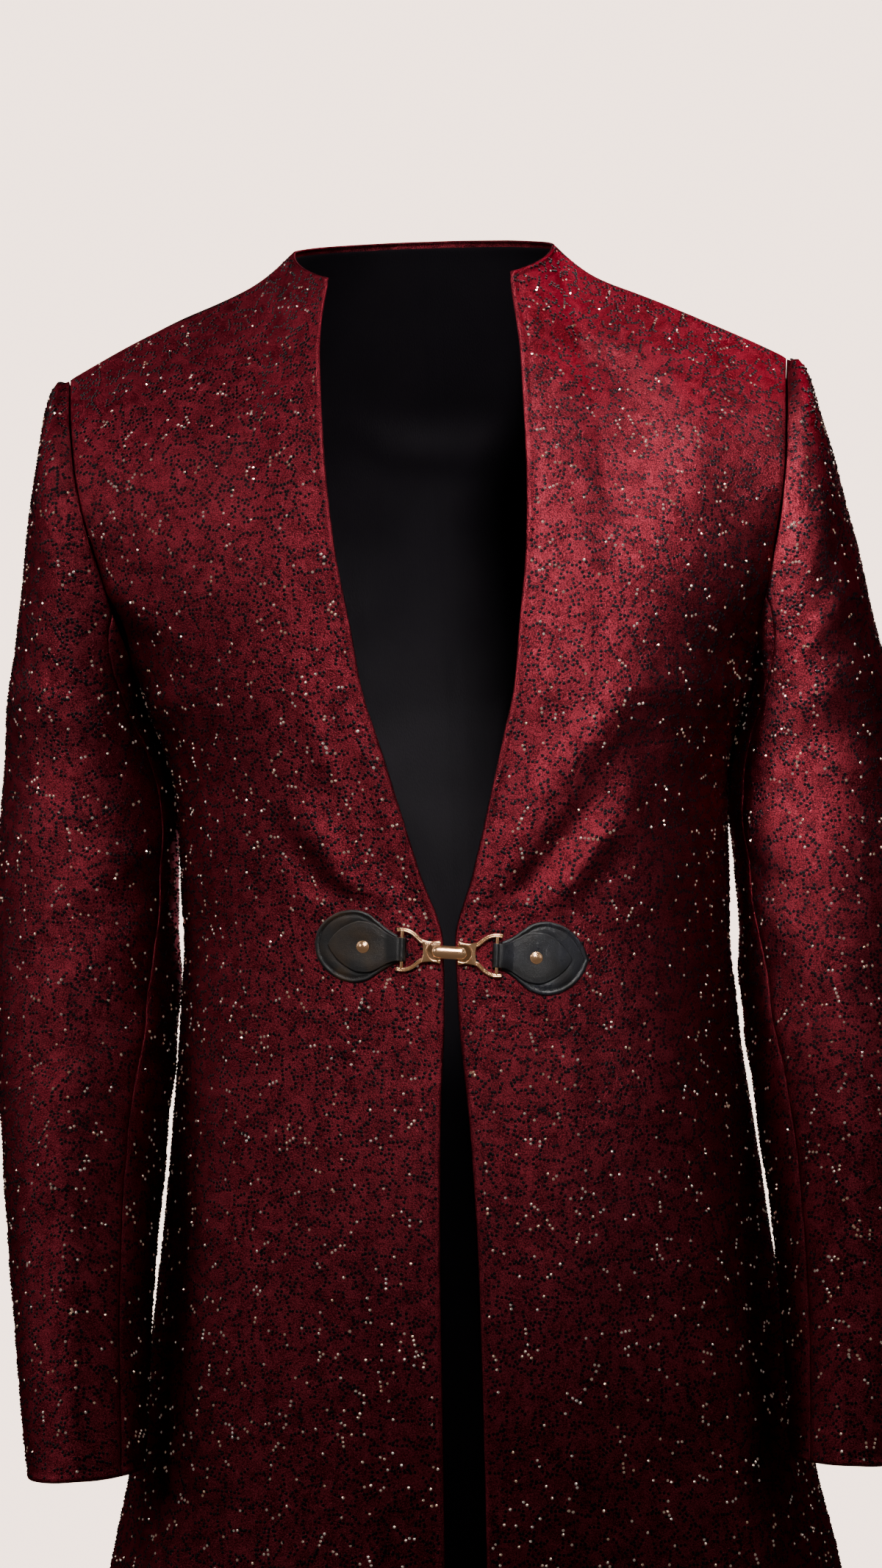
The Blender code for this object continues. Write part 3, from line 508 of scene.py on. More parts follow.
# A place of the front, turned into distances along and up the clasp.
def alongClasp(x, z):
    sine = math.sin(clasp["slope"])
    cosine = math.cos(clasp["slope"])
    return x * cosine - (z - clasp["z"]) * sine, x * sine + (z - clasp["z"]) * cosine


# 0 under the clasp and its leather, and 1 well clear of them.
def clearOfClasp(x, z):
    along, up = alongClasp(x, z)
    reachAlong, reachUp = clasp["calmReach"]
    off = np.hypot((np.abs(along) - clasp["calmCentre"]) / reachAlong, up / reachUp)
    return easeIn(off, 1.0, clasp["calmFade"])


# Each panel has its plain wall, a function of a row down it and a share across it, its relief, and settings.
def panelOf(wall, relief, side, **own):
    settings = {
        "lastRow": bodyShape["lastRow"],
        "across": (0, 1),
        "sleeve": False,
        "clasped": False,
    }
    return {"wall": wall, "relief": relief, "side": side, **settings, **own}


def frontPanel(side):
    creases = cloth["leftCreases"] if side > 0 else cloth["rightCreases"]

    def relief(row, across, outer):
        x = outer[..., 0]
        z = outer[..., 2]
        leftward = outer * (side, 1, 1)
        crumpled = creaseRise(x, z, creases) + unevenRise(leftward, cloth["seed"])
        return crumpled * clearOfClasp(side * x, z) + underArm(leftward)

    own = {
        "clasped": True,
        "freeTop": lambda across: across < bodyShape["frontNeckShare"],
        "restsOn": ["back"],
    }
    return panelOf(lambda row, across: bodyWall(row, across, False), relief, side, **own)


def backPanel():
    def wall(row, across):
        flip = packPoints(np.where(across < 0, -1.0, 1.0), 1.0, 1.0)
        outer, outward = bodyWall(row, np.abs(across), True)
        outward = outward * flip
        outward[..., 0] *= easeIn(np.abs(across), 0, bodyShape["middleFade"])
        return outer * flip, unit(outward)

    def relief(row, across, outer):
        seam = -cloth["centreSeamDepth"] * bell(np.abs(outer[..., 0]) / cloth["centreSeamWidth"])
        pucker = creaseRise(outer[..., 0], outer[..., 2], cloth["backCreases"])
        return pucker + seam + unevenRise(outer, cloth["seed"] + 1) + underArm(outer)

    own = {
        "across": (1, -1),
        "freeTop": lambda across: np.abs(across) < bodyShape["backNeckShare"],
        "restsOn": ["front_left", "front_right"],
    }
    return panelOf(wall, relief, 1, **own)


def sleevePanel(side, top):
    folds = cloth["leftFolds"] if side > 0 else cloth["rightFolds"]
    front = "front_left" if side > 0 else "front_right"

    def angleOf(row, share):
        seams = readTable(sleeveShape, row)
        start = seams["frontSeam"] if top else -seams["backSeam"]
        end = 360 - seams["backSeam"] if top else seams["frontSeam"]
        return start + (end - start) * share

    def wall(row, share):
        outer, outward = sleeveWall(row, angleOf(row, share))
        rim = easeIn(cloth["rimRows"] - row, 0, cloth["rimRows"])[..., None]
        flat = outward.copy()
        flat[..., 0] = np.minimum(flat[..., 0], 0)
        return outer, unit(outward + (unit(flat) - outward) * rim)

    def relief(row, share, outer):
        fine = sleeveRise(row, angleOf(row, share), folds) - sleeveRise(row, angleOf(row, share), ())
        return fine + unevenRise(outer * (side, 1, 1), cloth["seed"] + 2)

    own = {
        "lastRow": sleeveShape["lastRow"],
        "sleeve": True,
        "freeTop": lambda share: share < -9,
        "restsOn": [front if top else "back"],
    }
    return panelOf(wall, relief, side, **own)


panels = {
    "front_left": frontPanel(1),
    "front_right": frontPanel(-1),
    "back": backPanel(),
    "sleeve_left_top": sleevePanel(1, True),
    "sleeve_left_under": sleevePanel(1, False),
    "sleeve_right_top": sleevePanel(-1, True),
    "sleeve_right_under": sleevePanel(-1, False),
}


# The right half is the left one mirrored, and both are put in the worn pose.
def wear(panel, points):
    return pose(points * (panel["side"], 1, 1), panel["sleeve"])


# Rows and shares of an even lattice, the plain wall's points on it, and the lengths down and across it.
def measure(panel, rowCount, shareCount):
    rows = np.linspace(0, panel["lastRow"], rowCount)
    shares = np.linspace(*panel["across"], shareCount)
    outer, _ = panel["wall"](rows[:, None] + 0 * shares, shares + 0 * rows[:, None])
    return rows, shares, outer, lengthAlong(outer, 0), lengthAlong(outer, 1)


# Distances from one border to the other: close steps beside each border and even ones between.
def stepsAcross(lengths):
    edges = np.array(cloth["edgeSteps"])
    count = max(int(round((np.max(lengths) - 2 * edges[-1]) / cloth["spacing"])), 4)
    even = np.linspace(0, 1, count + 1)[1:-1]
    lengths = np.asarray(lengths)[..., None]
    middle = edges[-1] + (lengths - 2 * edges[-1]) * even
    return np.concatenate([edges + 0 * lengths, middle, lengths - edges[::-1]], axis=-1)


def readRows(at, lengths, values):
    return np.stack([np.interp(*columns) for columns in zip(at, lengths, values)])


# A grid of spots with even steps by length. A lattice is measured along its rows and cut into steps, and
# then the columns through those steps are measured and cut in the same way. A spot is its row, its share and
# its distances from the panel's top, bottom, start and end.
def layGrid(panel):
    rows, shares, _, _, wides = measure(panel, *cloth["lattice"])
    steps = stepsAcross(wides[:, -1])
    across = readRows(steps, wides, [shares] * len(rows))
    outer, _ = panel["wall"](rows[:, None] + 0 * across, across)
    lengths = lengthAlong(outer, 0)
    downs = stepsAcross(lengths[-1]).T
    row = readRows(downs.T, lengths.T, [rows] * downs.shape[1]).T
    every = [rows] * row.shape[1]
    toEnd = steps[:, -1:] - steps
    share, fromStart, toEnd = (readRows(row.T, every, table.T).T for table in (across, steps, toEnd))
    return np.stack([row, share, downs, lengths[-1] - downs, fromStart, toEnd])


# A roll beside a free edge and the trough behind it, or the dip along a seam, as bells of the distance.
def borderRise(apart, free):
    roll = cloth["rollHeight"] * bell((apart - cloth["rollAt"]) / cloth["rollWidth"])
    roll = roll - cloth["rollTrough"] * bell((apart - cloth["troughAt"]) / cloth["rollWidth"])
    return np.where(free, roll, -cloth["seamDepth"] * bell(apart / cloth["seamWidth"]))


# The wall before it is posed: the plain wall moved out by its relief and by what its borders add.
def skin(panel, spots):
    row, share, top, bottom, start, end = spots
    outer, outward = panel["wall"](row, share)
    rise = panel["relief"](row, share, outer)
    rise = rise + borderRise(top, panel["freeTop"](share))
    rise = rise + borderRise(bottom, True)
    rise = rise + borderRise(start, panel["clasped"])
    rise = rise + borderRise(end, False)
    return outer + outward * rise[..., None], outward


# How far a half-round border of that radius falls away, by distance from it.
def roundedOff(apart, radius):
    short = np.clip(radius - apart, 0, radius)
    return radius - np.sqrt(np.maximum(radius**2 - short**2, 0))


def addObject(name, data):
    made = bpy.data.objects.new(name, data)
    bpy.context.scene.collection.objects.link(made)
    return made


# A mesh object that rides on the coat and, where it is given a node, stands for it.
def makePiece(name, points, faces, finishes, node=None, faceFinish=0, smooth=True, sharpFrom=None):
    used, corners = np.unique(np.concatenate([np.ravel(face) for face in faces]), return_inverse=True)
    points = np.asarray(points, float).reshape(-1, 3)[used]
    sizes = np.concatenate([np.full(len(face), np.shape(face)[1]) for face in faces])
    starts = np.concatenate([[0], np.cumsum(sizes)[:-1]])
    mesh = bpy.data.meshes.new(name)
    mesh.vertices.add(len(points))
    mesh.vertices.foreach_set("co", points.ravel())
    mesh.loops.add(len(corners))
    mesh.loops.foreach_set("vertex_index", corners.astype(np.int32))
    mesh.polygons.add(len(sizes))
    mesh.polygons.foreach_set("loop_start", starts.astype(np.int32))
    mesh.polygons.foreach_set("loop_total", sizes.astype(np.int32))
    for finish in finishes:
        mesh.materials.append(finish)
    mesh.polygons.foreach_set("material_index", np.broadcast_to(faceFinish, len(sizes)).astype(np.int32))
    mesh.polygons.foreach_set("use_smooth", np.full(len(sizes), smooth))
    mesh.update(calc_edges=True)
    mesh.validate()
    if sharpFrom:
        mesh.set_sharp_from_angle(angle=math.radians(sharpFrom))
    piece = addObject(name, mesh)
    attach(piece, "root")
    if node:
        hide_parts(node)
    return piece


# Faces of a closed shell: two grids of points that share those on their border.
def shellFaces(rows, columns):
    index = np.arange(rows * columns).reshape(rows, columns)
    grid = np.stack([index[:-1, :-1], index[1:, :-1], index[1:, 1:], index[:-1, 1:]], axis=-1)
    outer = grid.reshape(-1, 4)
    under = index.copy()
    under[1:-1, 1:-1] += rows * columns
    return outer, under.ravel()[outer[:, ::-1]]


# A node of a shader's tree: its settings are set first, and then its sockets are given values or links.
def addNode(tree, kind, settings, inputs):
    made = tree.nodes.new("ShaderNode" + kind)
    for name, setting in settings.items():
        setattr(made, name, setting)
    for name, value in inputs.items():
        feed(tree, made.inputs[name], value)
    return made


def feed(tree, socket, value):
    value = value.socket if isinstance(value, Value) else value
    if isinstance(value, bpy.types.NodeSocket):
        tree.links.new(value, socket)
    elif socket.type == "RGBA":
        socket.default_value = (*value, 1.0)
    else:
        socket.default_value = value


# A shader value: each sum or product written with it adds its Math node.
class Value:
    def __init__(self, tree, socket):
        self.tree = tree
        self.socket = socket

    def maths(self, operation, first, second):
        node = addNode(self.tree, "Math", {"operation": operation}, {0: first, 1: second})
        return Value(self.tree, node.outputs[0])

    def __add__(self, other):
        return self.maths("ADD", self, other)

    def __sub__(self, other):
        return self.maths("SUBTRACT", self, other)

    def __rsub__(self, other):
        return self.maths("SUBTRACT", other, self)

    def __mul__(self, other):
        return self.maths("MULTIPLY", self, other)

    __radd__ = __add__
    __rmul__ = __mul__


# A material with one shader, whose plain numbers are set on it first.
class Finish:
    def __init__(self, name, plain):
        self.material = bpy.data.materials.new(name)
        self.material.use_nodes = True
        self.tree = self.material.node_tree
        self.tree.nodes.clear()
        self.shader = addNode(self.tree, "BsdfPrincipled", {}, plain)
        addNode(self.tree, "OutputMaterial", {}, {"Surface": self.shader.outputs[0]})
        self.place = addNode(self.tree, "TexCoord", {}, {}).outputs["Object"]

    def value(self, kind, inputs, output=0, **settings):
        return Value(self.tree, addNode(self.tree, kind, settings, inputs).outputs[output])

    # Noise whose patches are about that wide, in metres.
    def noise(self, width, detail=2.0, roughness=0.5, stretch=None):
        place = self.place
        if stretch:
            place = self.value("Mapping", {"Vector": place, "Scale": stretch})
        inputs = {"Vector": place, "Scale": 1 / width, "Detail": detail, "Roughness": roughness}
        return self.value("TexNoise", inputs, "Fac")

    def spread(self, value, low, high):
        return self.value("MapRange", {"Value": value, "From Min": low, "From Max": high})

    # A blend of two colours, by the Mix node's factor, A and B, which are its inputs 0, 6 and 7.
    def blend(self, share, first, second):
        return self.value("Mix", {0: share, 6: first, 7: second}, 2, data_type="RGBA")

    # What changes over the surface: its colour, its roughness and, where a height is given, its normal.
    def cover(self, colour, roughness, height=None, depth=None):
        feed(self.tree, self.shader.inputs["Base Color"], colour)
        feed(self.tree, self.shader.inputs["Roughness"], roughness)
        if height:
            bumped = self.value("Bump", {"Height": height, "Distance": depth, "Strength": 1.0})
            feed(self.tree, self.shader.inputs["Normal"], bumped)
        return self.material


velvet = {
    "deep": (0.036, 0.0038, 0.0062),
    "red": (0.300, 0.0315, 0.0500),
    "pile": 0.0008,
    "crush": 0.0095,
    "drift": 0.060,
    "mixed": (0.25, 0.06, 0.8),
    "redFrom": 0.46,
    "redTo": 0.68,
    "roughness": 0.47,
    "pileShine": 0.12,
    "edge": (1.0, 0.35, 0.43),
    "crushHeight": 1.2,
    "pileDepth": 0.00056,
}


# The pile's fine grain and its crushed patches raise the surface, and with a slow drift they change its red.
def makeVelvet():
    plain = {"Metallic": 1.0, "Specular Tint": velvet["edge"], "Specular IOR Level": 0.0}
    finish = Finish("beaded_velvet", plain)
    pile = finish.noise(velvet["pile"], 2.0, 0.7)
    crush = finish.noise(velvet["crush"], 2.0, 0.5)
    drift = finish.noise(velvet["drift"], 1.0)
    ofCrush, ofDrift, ofPile = velvet["mixed"]
    mixed = crush * ofCrush + drift * ofDrift + pile * ofPile
    share = finish.spread(mixed, velvet["redFrom"], velvet["redTo"])
    red = finish.blend(share, velvet["deep"], velvet["red"])
    roughness = velvet["roughness"] - pile * velvet["pileShine"]
    return finish.cover(red, roughness, pile + crush * velvet["crushHeight"], velvet["pileDepth"])


lining = {
    "twill": 0.0006,
    "twillStretch": (1.0, 1.0, 0.25),
    "drift": 0.040,
    "dark": (0.005, 0.004, 0.006),
    "pale": (0.012, 0.010, 0.013),
    "roughness": 0.56,
    "twillDull": 0.16,
    "driftHeight": 4,
    "depth": 0.00012,
}


def makeLining():
    finish = Finish("lining_satin", {"Specular IOR Level": 0.08})
    twill = finish.noise(lining["twill"], 1.0, 0.5, lining["twillStretch"])
    drift = finish.noise(lining["drift"], 2.0)
    black = finish.blend(drift, lining["dark"], lining["pale"])
    roughness = lining["roughness"] + twill * lining["twillDull"]
    return finish.cover(black, roughness, twill + drift * lining["driftHeight"], lining["depth"])


# Beads and thread: a black whose tone and roughness follow one noise.
def makeBlack(name, shine, width, dark, pale, smoothest, duller):
    finish = Finish(name, {"Specular IOR Level": shine})
    tone = finish.noise(width, 1.0)
    return finish.cover(finish.blend(tone, dark, pale), smoothest + tone * duller)


stone = {
    "width": 0.012,
    "gold": (0.80, 0.50, 0.33),
    "clear": (0.80, 0.68, 0.60),
    "roughness": 0.08,
    "toneDull": 0.14,
}


# Each stone takes its tint from a slow noise, between pale gold and clear, and glows faintly in that tint: a
# painted sparkle, so that the stones show even where no lamp glints in them.
def makeStone():
    finish = Finish("cut_stone", {"Metallic": 0.85, "Emission Strength": 0.13})
    tone = finish.spread(finish.noise(stone["width"], 2.0, 0.7), 0.35, 0.65)
    tint = finish.blend(tone, stone["gold"], stone["clear"])
    # Painted sparkle: the stone glows in its own tint.
    feed(finish.tree, finish.shader.inputs["Emission Color"], tint)
    return finish.cover(tint, stone["roughness"] + tone * stone["toneDull"])


hide = {
    "grain": 0.0008,
    "patch": 0.014,
    "coolFrom": -0.03,
    "coolTo": 0.03,
    "black": (0.006, 0.0055, 0.006),
    "brownSheen": (0.040, 0.024, 0.013),
    "greySheen": (0.026, 0.027, 0.034),
    "roughness": 0.42,
    "sheenPatchShine": 0.10,
    "coolShine": 0.06,
    "patchHeight": 5,
    "depth": 0.00005,
}


# Painted sheen: the leather is black, and in noise patches the colour of its sheen is painted on it, browner
# on the wearer's right and cooler on the left. The patches are also smoother, and lie over a fine grain of
# cells.
def makeLeather():
    finish = Finish("black_leather", {"Specular IOR Level": 0.5})
    inputs = {"Vector": finish.place, "Scale": 1 / hide["grain"]}
    cells = finish.value("TexVoronoi", inputs, "Distance", feature="DISTANCE_TO_EDGE")
    grain = finish.spread(cells, 0.0, 0.30)
    # Painted sheen: the side picks the colour painted for the leather's sheen, brown on the wearer's right
    # and cool grey on the left.
    leftward = finish.value("SeparateXYZ", {"Vector": finish.place}, "X")
    cool = finish.spread(leftward, hide["coolFrom"], hide["coolTo"])
    patch = finish.noise(hide["patch"], 3.0)
    # Painted sheen: where this noise is high, the sheen's colour is painted over the black and the leather is
    # smoother.
    sheenPatches = finish.spread(patch, 0.40, 0.66)
    colour = finish.blend(sheenPatches, hide["black"], finish.blend(cool, hide["brownSheen"], hide["greySheen"]))
    roughness = hide["roughness"] - sheenPatches * hide["sheenPatchShine"] - cool * hide["coolShine"]
    return finish.cover(colour, roughness, grain + patch * hide["patchHeight"], hide["depth"])


gilt = {
    "paintedReflectionGlow": (1.0, 0.48, 0.21),
    "haze": 0.012,
    "hairline": 0.0008,
    "hairlineStretch": (0.12, 1.0, 1.0),
    "rose": (1.0, 0.58, 0.32),
    "yellow": (1.0, 0.68, 0.42),
    "roughness": 0.19,
    "hazeDull": 0.04,
    "hairlineDull": 0.03,
}


# The gilt glows faintly in a warm colour: a painted reflection that brightens the metal where it would mirror
# a dark room. Its colour is a rose to yellow blend by a slow haze, and its roughness follows the haze and
# fine hairlines.
def makeGilt():
    finish = Finish("rose_gilt", {"Metallic": 1.0, "Emission Color": gilt["paintedReflectionGlow"], "Emission Strength": 0.09})
    haze = finish.noise(gilt["haze"], 1.0)
    hairline = finish.noise(gilt["hairline"], 1.0, 0.5, gilt["hairlineStretch"])
    gold = finish.blend(haze, gilt["rose"], gilt["yellow"])
    return finish.cover(gold, gilt["roughness"] + haze * gilt["hazeDull"] + hairline * gilt["hairlineDull"])


velvetFinish = makeVelvet()
liningFinish = makeLining()
beadFinish = makeBlack("black_bead", 0.10, 0.006, (0.003, 0.002, 0.003), (0.009, 0.006, 0.008), 0.07, 0.10)
stoneFinish = makeStone()
leatherFinish = makeLeather()
giltFinish = makeGilt()
threadFinish = makeBlack("black_thread", 0.3, 0.0004, (0.003, 0.003, 0.003), (0.010, 0.009, 0.010), 0.55, 0.2)
print("finishes made")


# A closed wall of velvet and lining. Both sides fall away round their shared border like the two halves of a
# rounded edge, and the lining stops a facing's width short of the free borders.
def makePanel(node, panel):
    spots = layGrid(panel)
    outer, outward = skin(panel, spots)
    fallen = roundedOff(spots[2:].min(axis=0), cloth["thickness"] / 2)[..., None]
    under = wear(panel, outer - outward * (cloth["thickness"] - fallen))
    outer = wear(panel, outer - outward * fallen)
    _, share, top, bottom, start, _ = spots
    free = np.minimum(bottom, np.where(panel["freeTop"](share), top, 1.0))
    if panel["clasped"]:
        free = np.minimum(free, start)
    lined = free[:-1, :-1].ravel() > cloth["facing"]
    rows, columns = share.shape
    walls = [wall[:, :: panel["side"]] for wall in shellFaces(rows, columns)]
    faceFinish = np.concatenate([0 * lined, lined])
    points = np.concatenate([outer.reshape(-1, 3), under.reshape(-1, 3)])
    name = node + "_velvet"
    piece = makePiece(name, points, walls, [velvetFinish, liningFinish], node, faceFinish)
    wide = np.linalg.norm(np.diff(outer, axis=1), axis=-1)
    tall = np.linalg.norm(np.diff(outer, axis=0), axis=-1)
    area = float((wide[:-1] * tall[:, :-1]).sum())
    flat = (float(wide.sum(axis=1).max()), float(tall.sum(axis=0).max()))
    print(node, "cloth:", rows, "x", columns, "flat", [round(x, 3) for x in flat], "area", round(area, 4))
    return piece, flat, area


beadwork = {
    "beads": {"radius": 0.00126, "rise": 0.00074, "sides": 5, "smooth": True},
    "stones": {"radius": 0.00105, "rise": 0.00070, "sides": 6, "smooth": False},
    "lattice": (241, 121),
    "slopeSteps": (0.004, 0.0008),
    "sunk": 0.00012,
    "pitch": 0.00255,
    "motifApart": 0.0078,
    "jitter": 0.30,
    "bendJitter": 0.14,
    "pitchJitter": 0.05,
    "stoneChance": (0.23, 0.06, 0.015),
    "margin": 0.0024,
    "keepApart": 0.0018,
    "clearOfPatch": 0.0012,
    "seed": 52,
    # Motifs: bends between the beads of a chain, in degrees, and how often each comes.
    "motifs": (
        ((0,), 8),
        ((0, 0), 16),
        ((0, 75, 0), 12),
        ((0, 0, 80, 0), 18),
        ((0, 0, -80, 0), 18),
        ((0, 90), 12),
        ((0, -90), 12),
        ((0, 0, 100, 30), 9),
        ((0, 60, -60, 0), 8),
        ((0, 70, 60, 0), 7),
        ((0, 0, 0), 8),
        ((0, 0, 65, 0, 0), 5),
    ),
}


# Centres of the motifs: bands one spacing apart down the panel, each cut into even steps of its own length
# and then shaken. Where the bands run closer together, square to themselves, some are left out at random.
def motifPlaces(panel, dice):
    jitter = beadwork["jitter"]
    rows, shares, outer, downs, wides = measure(panel, *cloth["lattice"])
    longest = int(np.argmax(downs[-1]))
    bands = np.arange(0.5, downs[-1, longest] / beadwork["motifApart"])
    bandRows = np.interp(bands * beadwork["motifApart"], downs[:, longest], rows)
    places = []
    for bandRow in bandRows:
        row = min(int(np.searchsorted(rows, bandRow)), len(rows) - 1)
        wide = wides[row]
        count = max(int(wide[-1] / beadwork["motifApart"]), 1)
        at = (np.arange(count) + 0.5 + dice.uniform(-jitter, jitter, count)) / count * wide[-1]
        before = max(row - 3, 0)
        after = min(row + 3, len(rows) - 1)
        level = alongLine(outer[row])
        downward = outer[after] - outer[before]
        square = np.linalg.norm(downward - level * (downward * level).sum(axis=-1)[:, None], axis=-1)
        tall = np.interp(at, wide, square) / (downs[after] - downs[before])[longest]
        kept = dice.random(count) < np.clip(tall, 0, 1)
        shaken = bandRow + dice.uniform(-jitter, jitter, count) * np.gradient(bandRows).mean()
        places.append(np.stack([shaken, np.interp(at, wide, shares)], axis=-1)[kept])
    return np.concatenate(places)


# Beads of every motif, as steps of one pitch on a path that turns by the motif's bends, and its stones: one,
# two or three in line, at the path's end.
def sowMotifs(count, dice):
    chances = np.array([chance for _, chance in beadwork["motifs"]], float)
    picked = dice.choice(len(chances), count, p=chances / chances.sum())
    ahead = dice.uniform(0, 2 * np.pi, count)
    beads = []
    stones = []
    for number, (bends, _) in enumerate(beadwork["motifs"]):
        which = np.flatnonzero(picked == number)
        turned = np.cumsum(np.radians(bends))[None, :] + ahead[which, None]
        turned = turned + dice.normal(0, beadwork["bendJitter"], turned.shape)
        reach = beadwork["pitch"] * dice.normal(1, beadwork["pitchJitter"], turned.shape)
        offsets = np.cumsum(np.stack([np.cos(turned) * reach, np.sin(turned) * reach], axis=-1), axis=1)
        offsets = np.concatenate([0 * offsets[:, :1], offsets], axis=1)
        offsets = offsets - offsets.mean(axis=1, keepdims=True)
        beads.append((np.repeat(which, offsets.shape[1]), offsets.reshape(-1, 2)))
        luck = dice.random(len(which))
        low = 0.0
        for extra, chance in enumerate(beadwork["stoneChance"], 1):
            lucky = (luck >= low) & (luck < low + chance)
            low += chance
            way = np.stack([np.cos(turned[lucky, -1]), np.sin(turned[lucky, -1])], axis=-1)
            for step in range(1, extra + 1):
                stones.append((which[lucky], offsets[lucky, -1] + way * beadwork["pitch"] * step))
    return [tuple(np.concatenate(column) for column in zip(*parts)) for parts in (beads, stones)]


# Rows and shares for offsets across and down the cloth, through the plain wall's two slopes.
def stepOnWall(panel, places, offsets):
    row, share = places.T
    outer, _ = panel["wall"](row, share)
    smallRow, smallShare = beadwork["slopeSteps"]
    down = (panel["wall"](row + smallRow, share)[0] - outer) / smallRow
    sideways = (panel["wall"](row, share + smallShare)[0] - outer) / smallShare
    level = unit(sideways)
    downLevel = (down * level).sum(axis=-1)
    downSteep = np.linalg.norm(down - level * downLevel[:, None], axis=-1)
    rowStep = offsets[:, 1] / np.maximum(downSteep, 1e-4)
    wide = np.maximum(np.linalg.norm(sideways, axis=-1), 1e-4)
    return row + rowStep, share + (offsets[:, 0] - rowStep * downLevel) / wide


# Spots for any rows and shares, read from the panel's measured lattice, and whether they lie inside it.
def spotsAt(panel, row, share):
    rows, shares, _, downs, wides = measure(panel, *beadwork["lattice"])
    tables = np.stack([downs, downs[-1:] - downs, wides, wides[:, -1:] - wides])
    inside = True
    lows = []
    parts = []
    for value, scale in ((row, rows), (share, shares)):
        at = (value - scale[0]) / (scale[-1] - scale[0]) * (len(scale) - 1)
        inside = inside & (at > 0) & (at < len(scale) - 1)
        at = np.clip(at, 0, len(scale) - 1.001)
        lows.append(at.astype(int))
        parts.append(at - lows[-1])
    row0, share0 = lows
    rowPart, sharePart = parts
    above, below = (
        tables[:, at, share0] * (1 - sharePart) + tables[:, at, share0 + 1] * sharePart
        for at in (row0, row0 + 1)
    )
    apart = above * (1 - rowPart) + below * rowPart
    return np.stack([row, share, *apart]), inside


# Keeps the first of any places that share a small cell, on two lattices half a cell apart.
def keptApart(points, size):
    keep = np.ones(len(points), bool)
    for shift in (0.0, 0.5):
        cells = np.floor(points / size + shift).astype(np.int64)
        key = (cells * (1, 100003, 10000019)).sum(axis=1)
        key[~keep] = -np.arange(1, (~keep).sum() + 1) * 7
        _, first = np.unique(key, return_index=True)
        once = np.zeros(len(points), bool)
        once[first] = True
        keep &= once
    return keep


# Small cones: a ring of corners, turned at random on the cloth's own slope, under one point.
def makeCones(name, centres, outward, form, finish, dice):
    sides = form["sides"]
    helper = np.where(np.abs(outward[:, 2:]) > 0.9, (1.0, 0.0, 0.0), (0.0, 0.0, 1.0))
    level = unit(np.cross(helper, outward))
    upright = np.cross(outward, level)
    start = dice.uniform(0, 2 * np.pi, len(centres))
    turned = start[:, None] + np.arange(sides) * 2 * np.pi / sides
    around = level[:, None] * np.cos(turned)[..., None] + upright[:, None] * np.sin(turned)[..., None]
    ring = centres[:, None] + around * form["radius"] + (outward * -beadwork["sunk"])[:, None]
    points = np.concatenate([ring, (centres + outward * form["rise"])[:, None]], axis=1)
    step = np.arange(sides)
    cone = np.stack([step, (step + 1) % sides, np.full(sides, sides)], axis=-1)
    faces = cone + (np.arange(len(centres)) * (sides + 1))[:, None, None]
    return makePiece(name, points, [faces.reshape(-1, 3)], [finish], smooth=form["smooth"])


def sewBeads(node, panel, seed):
    dice = np.random.default_rng(seed)
    places = motifPlaces(panel, dice)
    beads, stones = sowMotifs(len(places), dice)
    made = []
    sewn = np.zeros((0, 3))
    for kind, finish, (which, offsets) in (("stones", stoneFinish, stones), ("beads", beadFinish, beads)):
        spots, inside = spotsAt(panel, *stepOnWall(panel, places[which], offsets))
        spots = spots[:, inside & (spots[2:].min(axis=0) > beadwork["margin"])]
        points, _ = skin(panel, spots)
        clear = keptApart(np.concatenate([sewn, points]), beadwork["keepApart"])[len(sewn) :]
        if panel["clasped"]:
            clear &= offLeather(panel["side"] * points[:, 0], points[:, 2])
        spots = spots[:, clear]
        sewn = np.concatenate([sewn, points[clear]])
        middle, plainOut = skin(panel, spots)
        centres = wear(panel, middle)
        lower, beside = (
            wear(panel, skin(panel, spots + np.array((down, sideways, 0, 0, 0, 0))[:, None])[0]) - centres
            for down, sideways in ((0.01, 0.0), (0.0, 0.002))
        )
        outward = unit(np.cross(lower, beside))
        away = wear(panel, middle + plainOut * 0.001) - centres
        outward = outward * np.sign((outward * away).sum(axis=-1, keepdims=True))
        made.append(makeCones(f"{node}_{kind}", centres, outward, beadwork[kind], finish, dice))
        print(node, kind, len(centres))
    return made


# Whether a place of the front lies outside the patch that is sewn on it.
def offLeather(x, z):
    along, up = alongClasp(x, z)
    rows = np.array(leather["patches"]["right"]["rows"])[::-1]
    halfWidth = np.interp(np.abs(along), rows[:, 0], rows[:, 1], left=-1, right=-1)
    return np.abs(up) > halfWidth + beadwork["clearOfPatch"]


